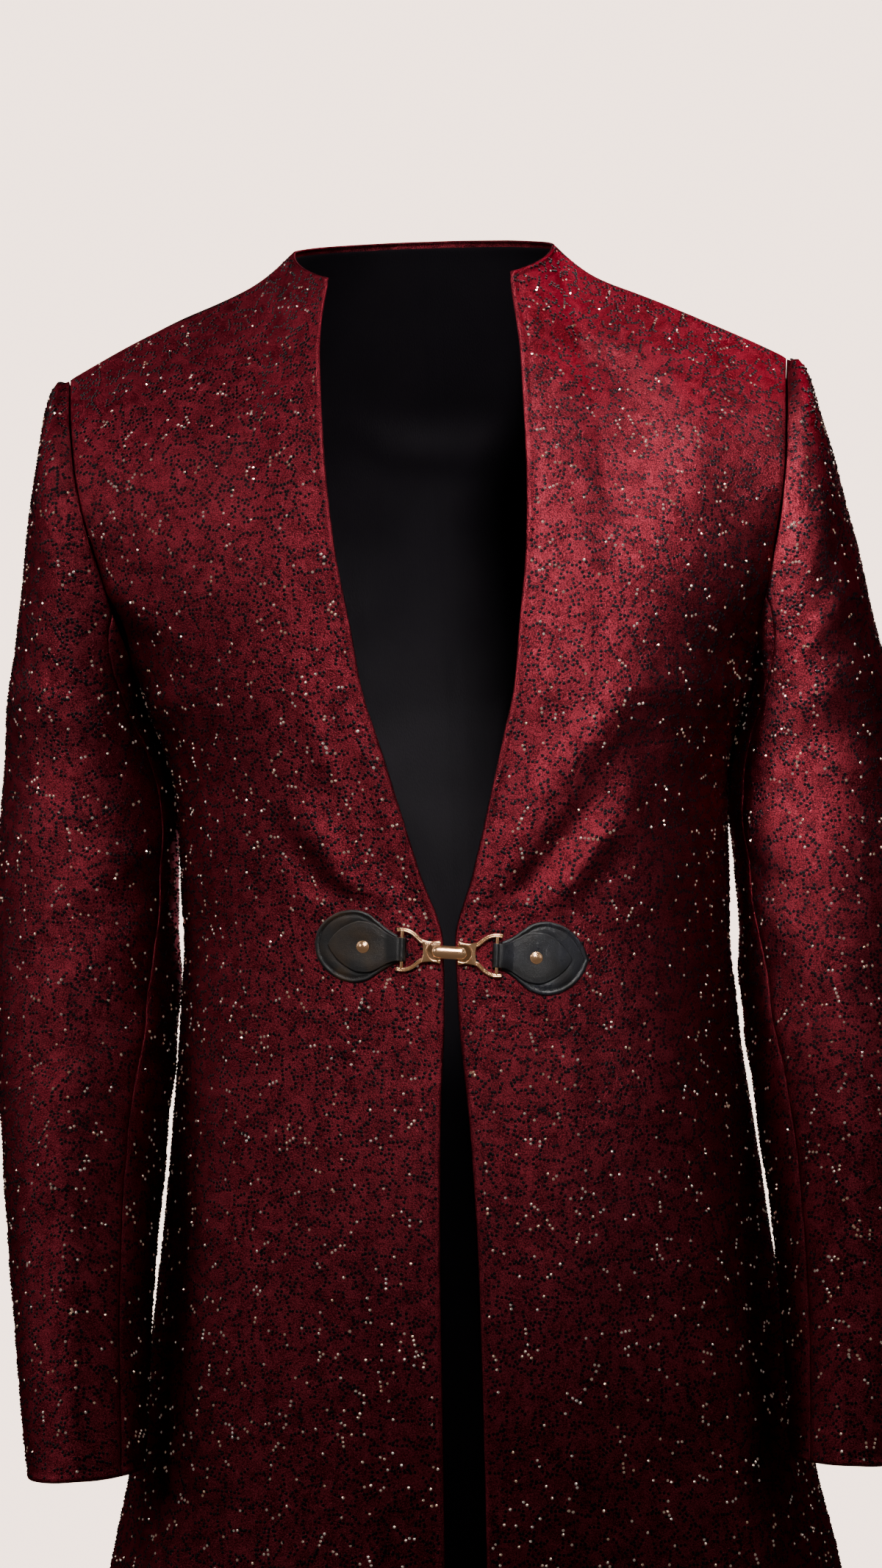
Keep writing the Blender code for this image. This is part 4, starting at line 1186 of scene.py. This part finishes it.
clasp = {
    "z": -0.390,
    "slope": math.radians(3.6),
    "calmCentre": 0.042,
    "calmReach": (0.046, 0.026),
    "calmFade": 1.5,
    "barAlong": 0.0278,
    "barRadius": 0.0009,
    "barHalfLength": 0.0112,
    "barLift": 0.0032,
    "rivetAlong": 0.0505,
    "rivetProfile": (
        (0.0036, 0.0), (0.0037, 0.0004), (0.00355, 0.00075), (0.0033, 0.00085), (0.0031, 0.00078),
        (0.0028, 0.00090), (0.0021, 0.00122), (0.0012, 0.00143), (0.0004, 0.0015),
    ),
    "plateNear": 0.0052,
    "plateFar": 0.0165,
    "plateHalfHeight": 0.0070,
    "plateWaist": 0.0010,
    "plateHollow": 0.0013,
    "plateCorner": 0.00022,
    "plateLifts": (0.0018, 0.0048),
    "plateRounding": 0.00045,
    "plateBevel": 0.6,
    "notchCentre": 0.0078,
    "notchRadius": 0.0051,
    "notchRim": 0.00055,
    "notchRimReach": 0.96,
    "notchRimOut": 0.9,
    "armLift": 0.0034,
    "armRidge": 0.00066,
    "armApart": 0.00054,
    "armCore": 0.0007,
    "armCoreDrop": 0.0004,
    "armRoute": {
        "columns": ("along", "up"),
        "rows": (
            (0.0303, 0.0116), (0.0285, 0.0119), (0.0262, 0.0118), (0.0240, 0.0112), (0.0218, 0.0101),
            (0.0198, 0.0086), (0.0180, 0.0069), (0.0166, 0.0057), (0.0154, 0.0052),
        ),
    },
    "linkHalfLength": 0.0107,
    "linkRadius": 0.0039,
    "linkHalfDepth": 0.0027,
    "linkLift": 0.0034,
    "linkSquare": 0.88,
    "linkTip": 0.06,
    "pinRadius": 0.0008,
    "pinReach": 0.0046,
}

patchNeck = ((0.0560, 0.0217), (0.0490, 0.0202), (0.0430, 0.0163), (0.0370, 0.0117), (0.0304, 0.0080))


def leatherTable(*rows):
    return {"columns": ("along", "halfWidth"), "rows": rows}


leather = {
    "thickness": 0.0014,
    "layerGap": 0.0003,
    "seat": 0.0004,
    "rounding": 0.00055,
    # The wearer's left patch ends in a softer point than the right one, and both share their narrow end.
    "patches": {
        "right": leatherTable(
            (0.0795, 0.0004), (0.0785, 0.0062), (0.0755, 0.0119), (0.0700, 0.0172), (0.0630, 0.0206),
            *patchNeck,
        ),
        "left": leatherTable(
            (0.0812, 0.0004), (0.0799, 0.0042), (0.0772, 0.0096), (0.0712, 0.0164), (0.0635, 0.0205),
            *patchNeck,
        ),
    },
    "leaf": leatherTable(
        (0.0712, 0.0004), (0.0697, 0.0034), (0.0661, 0.0079), (0.0602, 0.0125), (0.0530, 0.0154),
        (0.0470, 0.0150), (0.0410, 0.0122), (0.0360, 0.0090), (0.0320, 0.0074), (0.0300, 0.0071),
    ),
    # How many rows, and how far past its ends the S curve starts and stops that crowds them there.
    "patchRows": (47, -0.15, 1.1),
    "patchColumns": 41,
    "leafRows": (45, -0.15, 1.3),
    "leafColumns": 33,
    "leafRisesFrom": 0.038,
    "leafEndsAt": 0.033,
    "loopTurn": (60, 270),
    "tuckAlong": 0.0299,
    "stitchIn": 0.0027,
    "stitchPitch": 0.00150,
    "stitchLength": 0.00118,
    "stitchRadius": 0.00026,
    "stitchesFrom": 0.0400,
    "stitchSlant": 0.13,
    "stitchSunk": 0.00016,
    "stitchBend": 0.0006,
    "stitchCentre": (0.055, 0.0),
    "stitchClear": 0.97,
    "stitchProfile": ((-0.5, 0.35), (-0.28, 1.0), (0.28, 1.0), (0.5, 0.35)),
    "grooveDepth": 0.00036,
    "grooveWidth": 0.00050,
    "edgeFade": (0, 0.0012),
    "rim": 0.00022,
    "rimRises": (0.0001, 0.0011),
    "rimFalls": (0.0016, 0.0026),
    "pad": 0.00022,
    "padRises": (0.0030, 0.0060),
    "clearOfLeaf": 0.0008,
    "crown": 0.00015,
    "crownRises": (0.0006, 0.004),
    "rivetHollow": 0.0004,
    "rivetHollowRadius": 0.0052,
    "rivetSunk": 0.0003,
}


# How far out the fronts' cloth lies near the clasp, as y: the plain section's own formula, solved for x.
def frontSurface(x, z):
    rows = np.linspace(bodyShape["armpitRow"], bodyShape["lastRow"], 200)
    heights = readTable(bodyShape, rows)["sideZ"]
    at = readTable(bodyShape, np.interp(-z, -heights, rows))
    power = bodyShape["sectionPower"]
    reach = np.clip((np.abs(x) - at["edgeX"]) / (at["sideX"] - at["edgeX"]), 0, 1)
    depth = np.cos(np.arcsin(reach ** (1 / power))) ** power
    return at["frontSideY"] + (at["edgeY"] - at["frontSideY"]) * depth


# Places given along the clasp, up it and off the cloth, in the coat's worn pose.
def onClasp(along, up, lift, side):
    along = side * np.asarray(along, float)
    sine = math.sin(clasp["slope"])
    cosine = math.cos(clasp["slope"])
    x = along * cosine + up * sine
    z = clasp["z"] - along * sine + up * cosine
    step = 0.001
    riseX = frontSurface(x + step, z) - frontSurface(x - step, z)
    riseZ = frontSurface(x, z + step) - frontSurface(x, z - step)
    outward = unit(packPoints(riseX, -2 * step, riseZ))
    return pose(packPoints(x, frontSurface(x, z), z) + outward * np.asarray(lift)[..., None], False)


# Faces turned round where they enclose a negative volume: the sum over the faces of their corners' boxes.
def facingOut(points, faces):
    volume = 0.0
    for face in faces:
        corners = points[face]
        for corner in range(2, corners.shape[1]):
            crossed = np.cross(corners[:, corner - 1], corners[:, corner])
            volume += np.einsum("ij,ij->i", corners[:, 0], crossed).sum()
    return [face[:, ::-1] for face in faces] if volume < 0 else faces


# Several closed forms as one piece, each form facing out.
def makeForms(name, forms, finish, node=None, sharpFrom=None):
    points = []
    faces = []
    start = 0
    for formPoints, formFaces in forms:
        formPoints = formPoints.reshape(-1, 3)
        faces += [face + start for face in facingOut(formPoints - formPoints.mean(axis=0), formFaces)]
        points.append(formPoints)
        start += len(formPoints)
    makePiece(name, np.concatenate(points), faces, [finish], node, sharpFrom=sharpFrom)


# Rings of points joined each to the next, with a flat face over the first and the last.
def loft(rings):
    count, sides = rings.shape[:2]
    index = np.arange(count * sides).reshape(count, sides)
    onward = np.roll(index, -1, axis=1)
    quads = np.stack([index[:-1], onward[:-1], onward[1:], index[1:]], axis=-1).reshape(-1, 4)
    return rings.reshape(-1, 3), [quads, index[:1, ::-1], index[-1:]]


# A round wire along a route, whose ends close as half balls: the radius follows a quarter circle there.
def wire(route, radius, sides=12):
    tangent = alongLine(route)
    turned = np.linspace(0.12, np.pi / 2, 5)[:-1]
    before = route[0] - tangent[0] * radius * np.cos(turned)[:, None]
    after = route[-1] + tangent[-1] * radius * np.cos(turned)[::-1, None]
    line = np.concatenate([before, route, after])
    closing = radius * np.sin(turned)
    radii = np.concatenate([closing, np.full(len(route), radius), closing[::-1]])
    tangent = np.concatenate([np.repeat(tangent[:1], 4, 0), tangent, np.repeat(tangent[-1:], 4, 0)])
    level = unit(np.cross(tangent, (0.12, 0.93, 0.21)))
    upright = np.cross(level, tangent)
    around = np.arange(sides) * 2 * np.pi / sides
    circle = level[:, None] * np.cos(around)[:, None] + upright[:, None] * np.sin(around)[:, None]
    return loft(line[:, None] + circle * radii[:, None, None])


# Places along an outline, closer near both its ends, and the half widths there.
def outlineRows(outline, count, start, end):
    rows = easeIn(np.linspace(0, 1, count), start, end)
    at = readTable(outline, (rows - rows[0]) / (rows[-1] - rows[0]) * (len(outline["rows"]) - 1))
    return at["along"], at["halfWidth"]


# Shares from -1 to 1 that stand closer near both borders, by the sine.
def sineShares(count):
    return np.sin(np.linspace(-1, 1, count) * np.pi / 2)


# Distance from places to the nearest point of an outline, both as along and up.
def fromOutline(along, up, outline):
    line = tableLine(outline, 400)
    line = np.concatenate([line, line * (1, -1)])
    return np.hypot(along[..., None] - line[:, 0], up[..., None] - line[:, 1]).min(axis=-1)


def cutLeather(name, node, top, bottom):
    points = np.concatenate([top.reshape(-1, 3), bottom.reshape(-1, 3)])
    makeForms(name, [(points, shellFaces(*top.shape[:2]))], leatherFinish, node)


# The patch: a flat leaf whose top is rounded at its outline, dips along the stitches and swells inside them.
def makePatch(side, word):
    outline = leather["patches"][word]
    line, halfWidth = outlineRows(outline, *leather["patchRows"])
    up = halfWidth[:, None] * sineShares(leather["patchColumns"])
    along = line[:, None] + 0 * up
    apart = np.minimum(fromOutline(along, up, outline), along - line[-1])
    half = leather["thickness"] / 2
    fallen = roundedOff(apart, leather["rounding"]) / leather["rounding"] * half
    groove = bell((apart - leather["stitchIn"]) / leather["grooveWidth"]) * leather["grooveDepth"]
    rim = leather["rim"] * easeIn(apart, *leather["rimRises"]) * (1 - easeIn(apart, *leather["rimFalls"]))
    pad = leather["pad"] * easeIn(apart, *leather["padRises"]) * ~underLeaf(along, up)
    high = leather["seat"] + 2 * half - fallen + (rim - groove + pad) * easeIn(apart, *leather["edgeFade"])
    top = onClasp(along, up, high, side)
    cutLeather(f"patch_{word}", f"tab_base_{word}", top, onClasp(along, up, leather["seat"] + fallen, side))


# Whether a place of the patch lies under the leaf.
def underLeaf(along, up):
    rows = np.array(leather["leaf"]["rows"])[::-1]
    halfWidth = np.interp(along, rows[:, 0], rows[:, 1], left=rows[0, 1], right=-1)
    return np.abs(up) < halfWidth + leather["clearOfLeaf"]


# Thread stitches, one pitch apart along a line that runs inside the outline by an even distance.
def sewPatch(side, word):
    outline = leather["patches"][word]
    line = tableLine(outline, 400)
    line = np.concatenate([line[::-1], line * (1, -1)])
    tangent = alongLine(line)
    inwards = np.stack([tangent[:, 1], -tangent[:, 0]], axis=-1)
    inwards *= np.sign(((leather["stitchCentre"] - line) * inwards).sum(axis=-1, keepdims=True))
    line = line + inwards * leather["stitchIn"]
    keep = fromOutline(line[:, 0], line[:, 1], outline) > leather["stitchIn"] * leather["stitchClear"]
    line = line[keep & (line[:, 0] > leather["stitchesFrom"])]
    lengths = lengthAlong(line, 0)
    middles = np.arange(0.5, lengths[-1] / leather["stitchPitch"]) * leather["stitchPitch"]
    starts = readLine(line, lengths, middles)
    slant = leather["stitchSlant"]
    turn = np.array([[math.cos(slant), math.sin(slant)], [-math.sin(slant), math.cos(slant)]])
    way = unit(readLine(line, lengths, middles + 0.0002) - starts) @ turn
    beside = np.stack([-way[:, 1], way[:, 0]], axis=-1)
    around = np.arange(6) * np.pi / 3
    rings = []
    for reach, width in leather["stitchProfile"]:
        radius = leather["stitchRadius"] * width
        middle = (starts + way * reach * leather["stitchLength"])[:, None]
        spot = middle + beside[:, None] * (np.cos(around) * radius)[:, None]
        lift = leather["seat"] + leather["thickness"] - leather["stitchSunk"] + np.sin(around) * radius
        lift = lift - abs(reach) ** 2 * leather["stitchBend"]
        rings.append(onClasp(spot[..., 0], spot[..., 1], lift, side))
    stitches = [loft(stitch) for stitch in np.stack(rings, axis=1)]
    makeForms(f"patch_stitches_{word}", stitches, threadFinish)


# The leaf: flat on the patch, then up to the bar, round it and back under itself. Its middle line is offset
# by half the thickness to both sides, less what the rounding at its outline takes off.
def makeLeaf(side, word):
    line, widths = outlineRows(leather["leaf"], *leather["leafRows"])
    middleRadius = clasp["barRadius"] + leather["layerGap"] + leather["thickness"] / 2
    flatLift = leather["seat"] + leather["layerGap"] + 1.5 * leather["thickness"]
    rising = easeIn(leather["leafRisesFrom"] - line, 0, leather["leafRisesFrom"] - line[-1])
    rise = flatLift + (clasp["barLift"] + middleRadius - flatLift) * rising
    turned = np.radians(np.linspace(*leather["loopTurn"], 19))
    loopAlong = clasp["barAlong"] + middleRadius * np.cos(turned)
    loopLift = clasp["barLift"] + middleRadius * np.sin(turned)
    along = np.concatenate([line, loopAlong, [leather["tuckAlong"]]])
    lift = np.concatenate([rise, loopLift, [clasp["barLift"] - middleRadius]])
    tangent = alongLine(np.stack([along, lift], axis=-1))
    outward = np.stack([tangent[:, 1], -tangent[:, 0]], axis=-1)[:, None]
    toEnd = lengthAlong(np.stack([along, lift], axis=-1), 0)
    halfWidth = np.append(widths, np.full(20, widths[-1]))[:, None]
    flat = (np.arange(len(along)) < len(line))[:, None]
    along = along[:, None]
    up = halfWidth * sineShares(leather["leafColumns"])
    apart = np.where(flat, fromOutline(along + 0 * up, up, leather["leaf"]), 1.0)
    apart = np.minimum(apart, np.where(along < leather["leafEndsAt"], halfWidth - np.abs(up), 1.0))
    apart = np.minimum(apart, (toEnd[-1] - toEnd)[:, None])
    half = leather["thickness"] / 2 * (1 - roundedOff(apart, leather["rounding"]) / leather["rounding"])
    crown = leather["crown"] * easeIn(apart, *leather["crownRises"]) * flat
    offRivet = ((along - clasp["rivetAlong"]) ** 2 + up**2) / leather["rivetHollowRadius"] ** 2
    hollow = leather["rivetHollow"] * np.exp(-offRivet) * flat
    sides = []
    for way, extra in ((1, crown - hollow), (-1, -hollow)):
        step = outward * (half * way + extra)[..., None]
        sides.append(onClasp(along + step[..., 0], up, lift[:, None] + step[..., 1], side))
    cutLeather(f"leaf_{word}", f"tab_flap_{word}", *sides)


# The rivet: its profile turned round the middle.
def makeRivet(side, word):
    seat = leather["seat"] + 2 * leather["layerGap"] + 2 * leather["thickness"] - leather["rivetSunk"]
    turned = np.arange(40) * 2 * np.pi / 40
    radius, height = np.array(clasp["rivetProfile"]).T[..., None]
    along = clasp["rivetAlong"] + radius * np.cos(turned)
    up = radius * np.sin(turned)
    head = loft(onClasp(along, up, seat + height + 0 * up, side))
    makeForms(f"rivet_head_{word}", [head], giltFinish, f"rivet_{word}", 50)


# Points at even steps round a closed outline whose corners are rounded by a bell-shaped average.
def roundedOutline(places, count, reach):
    closed = np.concatenate([places, places[:1]])
    lengths = lengthAlong(closed, 0)
    even = readLine(closed, lengths, np.arange(count) * lengths[-1] / count)
    steps = np.fft.fftfreq(count, lengths[-1] / count)
    weight = np.exp(-2 * (np.pi * steps * reach) ** 2)[:, None]
    return np.fft.ifft(np.fft.fft(even, axis=0) * weight, axis=0).real


# The plate's outline: its notch, its waisted top, its far side and its top again, mirrored below.
def plateOutline(notchEnd):
    turned = np.linspace(-notchEnd, notchEnd, 41)
    notch = clasp["notchRadius"] * np.stack([np.cos(turned), np.sin(turned)], -1) + (clasp["notchCentre"], 0)
    bend = np.linspace(0, 1, 9)[:, None]
    height = clasp["plateHalfHeight"]
    top = np.array((clasp["plateNear"], height)) * (1 - bend) + np.array((clasp["plateFar"], height)) * bend
    top[:, 1] -= clasp["plateWaist"] * np.sin(np.pi * bend[:, 0])
    reach = np.linspace(1, -1, 13)
    hollow = clasp["plateHollow"] * np.cos(reach * np.pi / 2)
    farSide = np.stack([clasp["plateFar"] - hollow, height * reach], -1)
    outline = np.concatenate([notch, top, farSide[1:-1], top[::-1] * (1, -1)])
    return roundedOutline(outline, 160, clasp["plateCorner"])


# The cast ring: a notched plate with rounded edges, a raised rim round its notch, two arms of two ridges each
# and the bar in the leather's loop.
def makeRing(side, word):
    notchEnd = math.acos((clasp["plateNear"] - clasp["notchCentre"]) / clasp["notchRadius"])
    outline = plateOutline(notchEnd)
    tangent = unit(np.roll(outline, -1, axis=0) - np.roll(outline, 1, axis=0))
    normal = np.stack([tangent[:, 1], -tangent[:, 0]], axis=-1)
    if ((outline - outline.mean(axis=0)) * normal).sum() < 0:
        normal = -normal
    low, high = clasp["plateLifts"]
    small = clasp["plateRounding"]
    angles = np.radians((0, 30, 60, 90))
    bevel = small * clasp["plateBevel"]
    layers = [(bevel, low), (0, low + bevel)]
    layers += [(small * (1 - math.cos(angle)), high - small + small * math.sin(angle)) for angle in angles]
    rings = [onClasp(*(outline - normal * inset).T, lift, side) for inset, lift in layers]
    forms = [loft(np.stack(rings))]

    def addWire(along, up, lift, radius, sides=12):
        forms.append(wire(onClasp(along, up, lift, side), radius, sides))

    rimEnd = notchEnd * clasp["notchRimReach"]
    turned = np.linspace(-rimEnd, rimEnd, 33)
    rimRadius = clasp["notchRadius"] + clasp["notchRim"] * clasp["notchRimOut"]
    rimAlong = clasp["notchCentre"] + rimRadius * np.cos(turned)
    addWire(rimAlong, rimRadius * np.sin(turned), high - 0.0001, clasp["notchRim"])
    route = tableLine(clasp["armRoute"], 36)
    tangent = alongLine(route)
    beside = np.stack([-tangent[:, 1], tangent[:, 0]], axis=-1) * clasp["armApart"]
    for way in (1, -1):
        for offset in (1, -1):
            addWire(*((route + beside * offset) * (1, way)).T, clasp["armLift"], clasp["armRidge"])
        addWire(*(route * (1, way)).T, clasp["armLift"] - clasp["armCoreDrop"], clasp["armCore"])
    reach = np.linspace(-clasp["barHalfLength"], clasp["barHalfLength"], 9)
    addWire(clasp["barAlong"], reach, clasp["barLift"], clasp["barRadius"], 16)
    makeForms(f"clasp_ring_{word}", forms, giltFinish, f"ring_{word}", 40)


# The link: a round-ended bar whose section is a slightly squared ellipse, and the two pins it turns on.
def makeLink():
    straight = clasp["linkHalfLength"] - clasp["linkRadius"]
    turned = np.linspace(clasp["linkTip"], np.pi / 2, 11)
    ends = straight + clasp["linkRadius"] * np.cos(turned)
    along = np.concatenate([-ends, np.linspace(-straight, straight, 7)[1:-1], ends[::-1]])
    widths = np.concatenate([np.sin(turned), np.ones(5), np.sin(turned)[::-1]])[:, None]
    around = np.arange(48) * 2 * np.pi / 48
    waves = (np.cos(around), np.sin(around))
    cosine, sine = (np.sign(wave) * np.abs(wave) ** clasp["linkSquare"] for wave in waves)
    up = clasp["linkRadius"] * widths * cosine
    lift = clasp["linkLift"] + clasp["linkHalfDepth"] * widths * sine
    forms = [loft(onClasp(along[:, None] + 0 * up, up, lift, 1))]
    reach = np.linspace(-clasp["pinReach"], clasp["pinReach"], 5)
    for side in (1, -1):
        pin = onClasp(side * clasp["notchCentre"], reach, clasp["linkLift"], 1)
        forms.append(wire(pin, clasp["pinRadius"], 14))
    makeForms("link_bar", forms, giltFinish, "clasp_link", 60)


for side, word in ((1, "left"), (-1, "right")):
    makePatch(side, word)
    sewPatch(side, word)
    makeLeaf(side, word)
    makeRivet(side, word)
    makeRing(side, word)
makeLink()
print("leather and clasp made")

for number, (node, panel) in enumerate(panels.items()):
    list(makePanel(node, panel))
    sewBeads(node, panel, beadwork["seed"] + number)
print("cloth and beads made")

room = {
    "cameraPlace": (0.0108, -3.0, -0.291),
    "lens": 112.5,
    "floorZ": -1.43,
    "floorRadius": 3.4,
    "backdrop": (4.1, 3.1, 2.6),
    "floorGlow": (1.0, 0.93, 0.86),
    "glowStrength": 0.9,
    "dimColour": (1.0, 0.98, 0.96),
    "dim": 0.033,
    "lightColour": (1.0, 0.97, 0.95),
    # Each light: its angle round the coat, its rise, distance, width, height, power, spread and aim.
    "lights": [
        ("key", 6, 34, 1.50, 0.30, 0.30, 0.63, 22, 0.08, -0.10),
        ("waist", 0, 24, 1.50, 0.30, 0.30, 0.20, 16, 0.03, -0.42),
        ("side", -44, 12, 2.40, 0.30, 0.60, 4.6, 180, 0.0, -0.35),
        ("left_sleeve", -34, 18, 1.70, 0.20, 0.30, 0.42, 11, 0.28, -0.20),
        ("right_sleeve", -25, 20, 1.70, 0.20, 0.30, 0.12, 10, -0.26, -0.25),
        ("left", -85, 15, 2.20, 1.00, 1.40, 5.0, 180, 0.0, -0.35),
        ("left_high", -100, 45, 2.20, 1.00, 1.40, 12.0, 180, 0.0, -0.35),
        ("crown", 70, 60, 1.80, 0.60, 0.80, 6.2, 180, 0.0, -0.35),
        ("rim", 130, 50, 1.80, 0.60, 0.80, 9.0, 180, 0.0, -0.35),
        ("right", 55, 14, 2.40, 0.80, 1.20, 2.2, 180, 0.0, -0.35),
        ("behind", 172, 12, 2.40, 1.00, 1.40, 7.0, 180, 0.0, -0.35),
    ],
}


# A soft panel of light, facing its aim. Its angle round the coat is positive towards the wearer's left.
def addLight(name, azimuth, elevation, distance, width, height, power, spread, aimX, aimZ):
    data = bpy.data.lights.new(name, "AREA")
    data.shape = "RECTANGLE"
    data.size = width
    data.size_y = height
    data.energy = power
    data.color = room["lightColour"]
    data.spread = math.radians(spread)
    lamp = addObject(name, data)
    lamp.visible_camera = False
    around = math.radians(azimuth)
    rise = math.radians(elevation)
    way = (math.sin(around) * math.cos(rise), -math.cos(around) * math.cos(rise), math.sin(rise))
    lamp.location = np.array((aimX, 0.0, aimZ)) + np.array(way) * distance
    lamp.rotation_euler = mathutils.Vector(way).to_track_quat("Z", "Y").to_euler()


def makeCamera():
    camera = addObject("camera", bpy.data.cameras.new("camera"))
    camera.data.lens = room["lens"]
    camera.data.sensor_width = 36
    camera.data.clip_end = 60
    camera.location = room["cameraPlace"]
    camera.rotation_euler = (math.radians(90), 0, 0)
    bpy.context.scene.camera = camera


# A round floor, which lights nothing and shows in no reflection.
def makeFloor():
    turned = np.arange(96) * 2 * np.pi / 96
    radius = room["floorRadius"]
    rim = packPoints(np.cos(turned) * radius, np.sin(turned) * radius, room["floorZ"])
    mesh = bpy.data.meshes.new("floor")
    mesh.from_pydata(rim.tolist(), [], [list(range(96))])
    floor = addObject("floor", mesh)
    plain = {"Emission Color": room["floorGlow"], "Emission Strength": room["glowStrength"]}
    finish = Finish("pale_floor", plain)
    pale = finish.blend(finish.noise(0.4, 2.0), (0.80, 0.77, 0.73), (0.84, 0.81, 0.77))
    mesh.materials.append(finish.cover(pale, 0.8))
    floor.visible_diffuse = False
    floor.visible_glossy = False


# The backdrop that the camera sees, and the dim even light that falls on the coat.
def makeWorld():
    world = bpy.data.worlds.new("studio")
    bpy.context.scene.world = world
    world.use_nodes = True
    tree = world.node_tree
    tree.nodes.clear()
    seen = addNode(tree, "Background", {}, {"Color": room["backdrop"]})
    light = addNode(tree, "Background", {}, {"Color": room["dimColour"], "Strength": room["dim"]})
    path = addNode(tree, "LightPath", {}, {})
    sockets = {0: path.outputs["Is Camera Ray"], 1: light.outputs[0], 2: seen.outputs[0]}
    mix = addNode(tree, "MixShader", {}, sockets)
    addNode(tree, "OutputWorld", {}, {"Surface": mix.outputs[0]})


makeCamera()
for light in room["lights"]:
    addLight(*light)
makeFloor()
makeWorld()
print("room made")
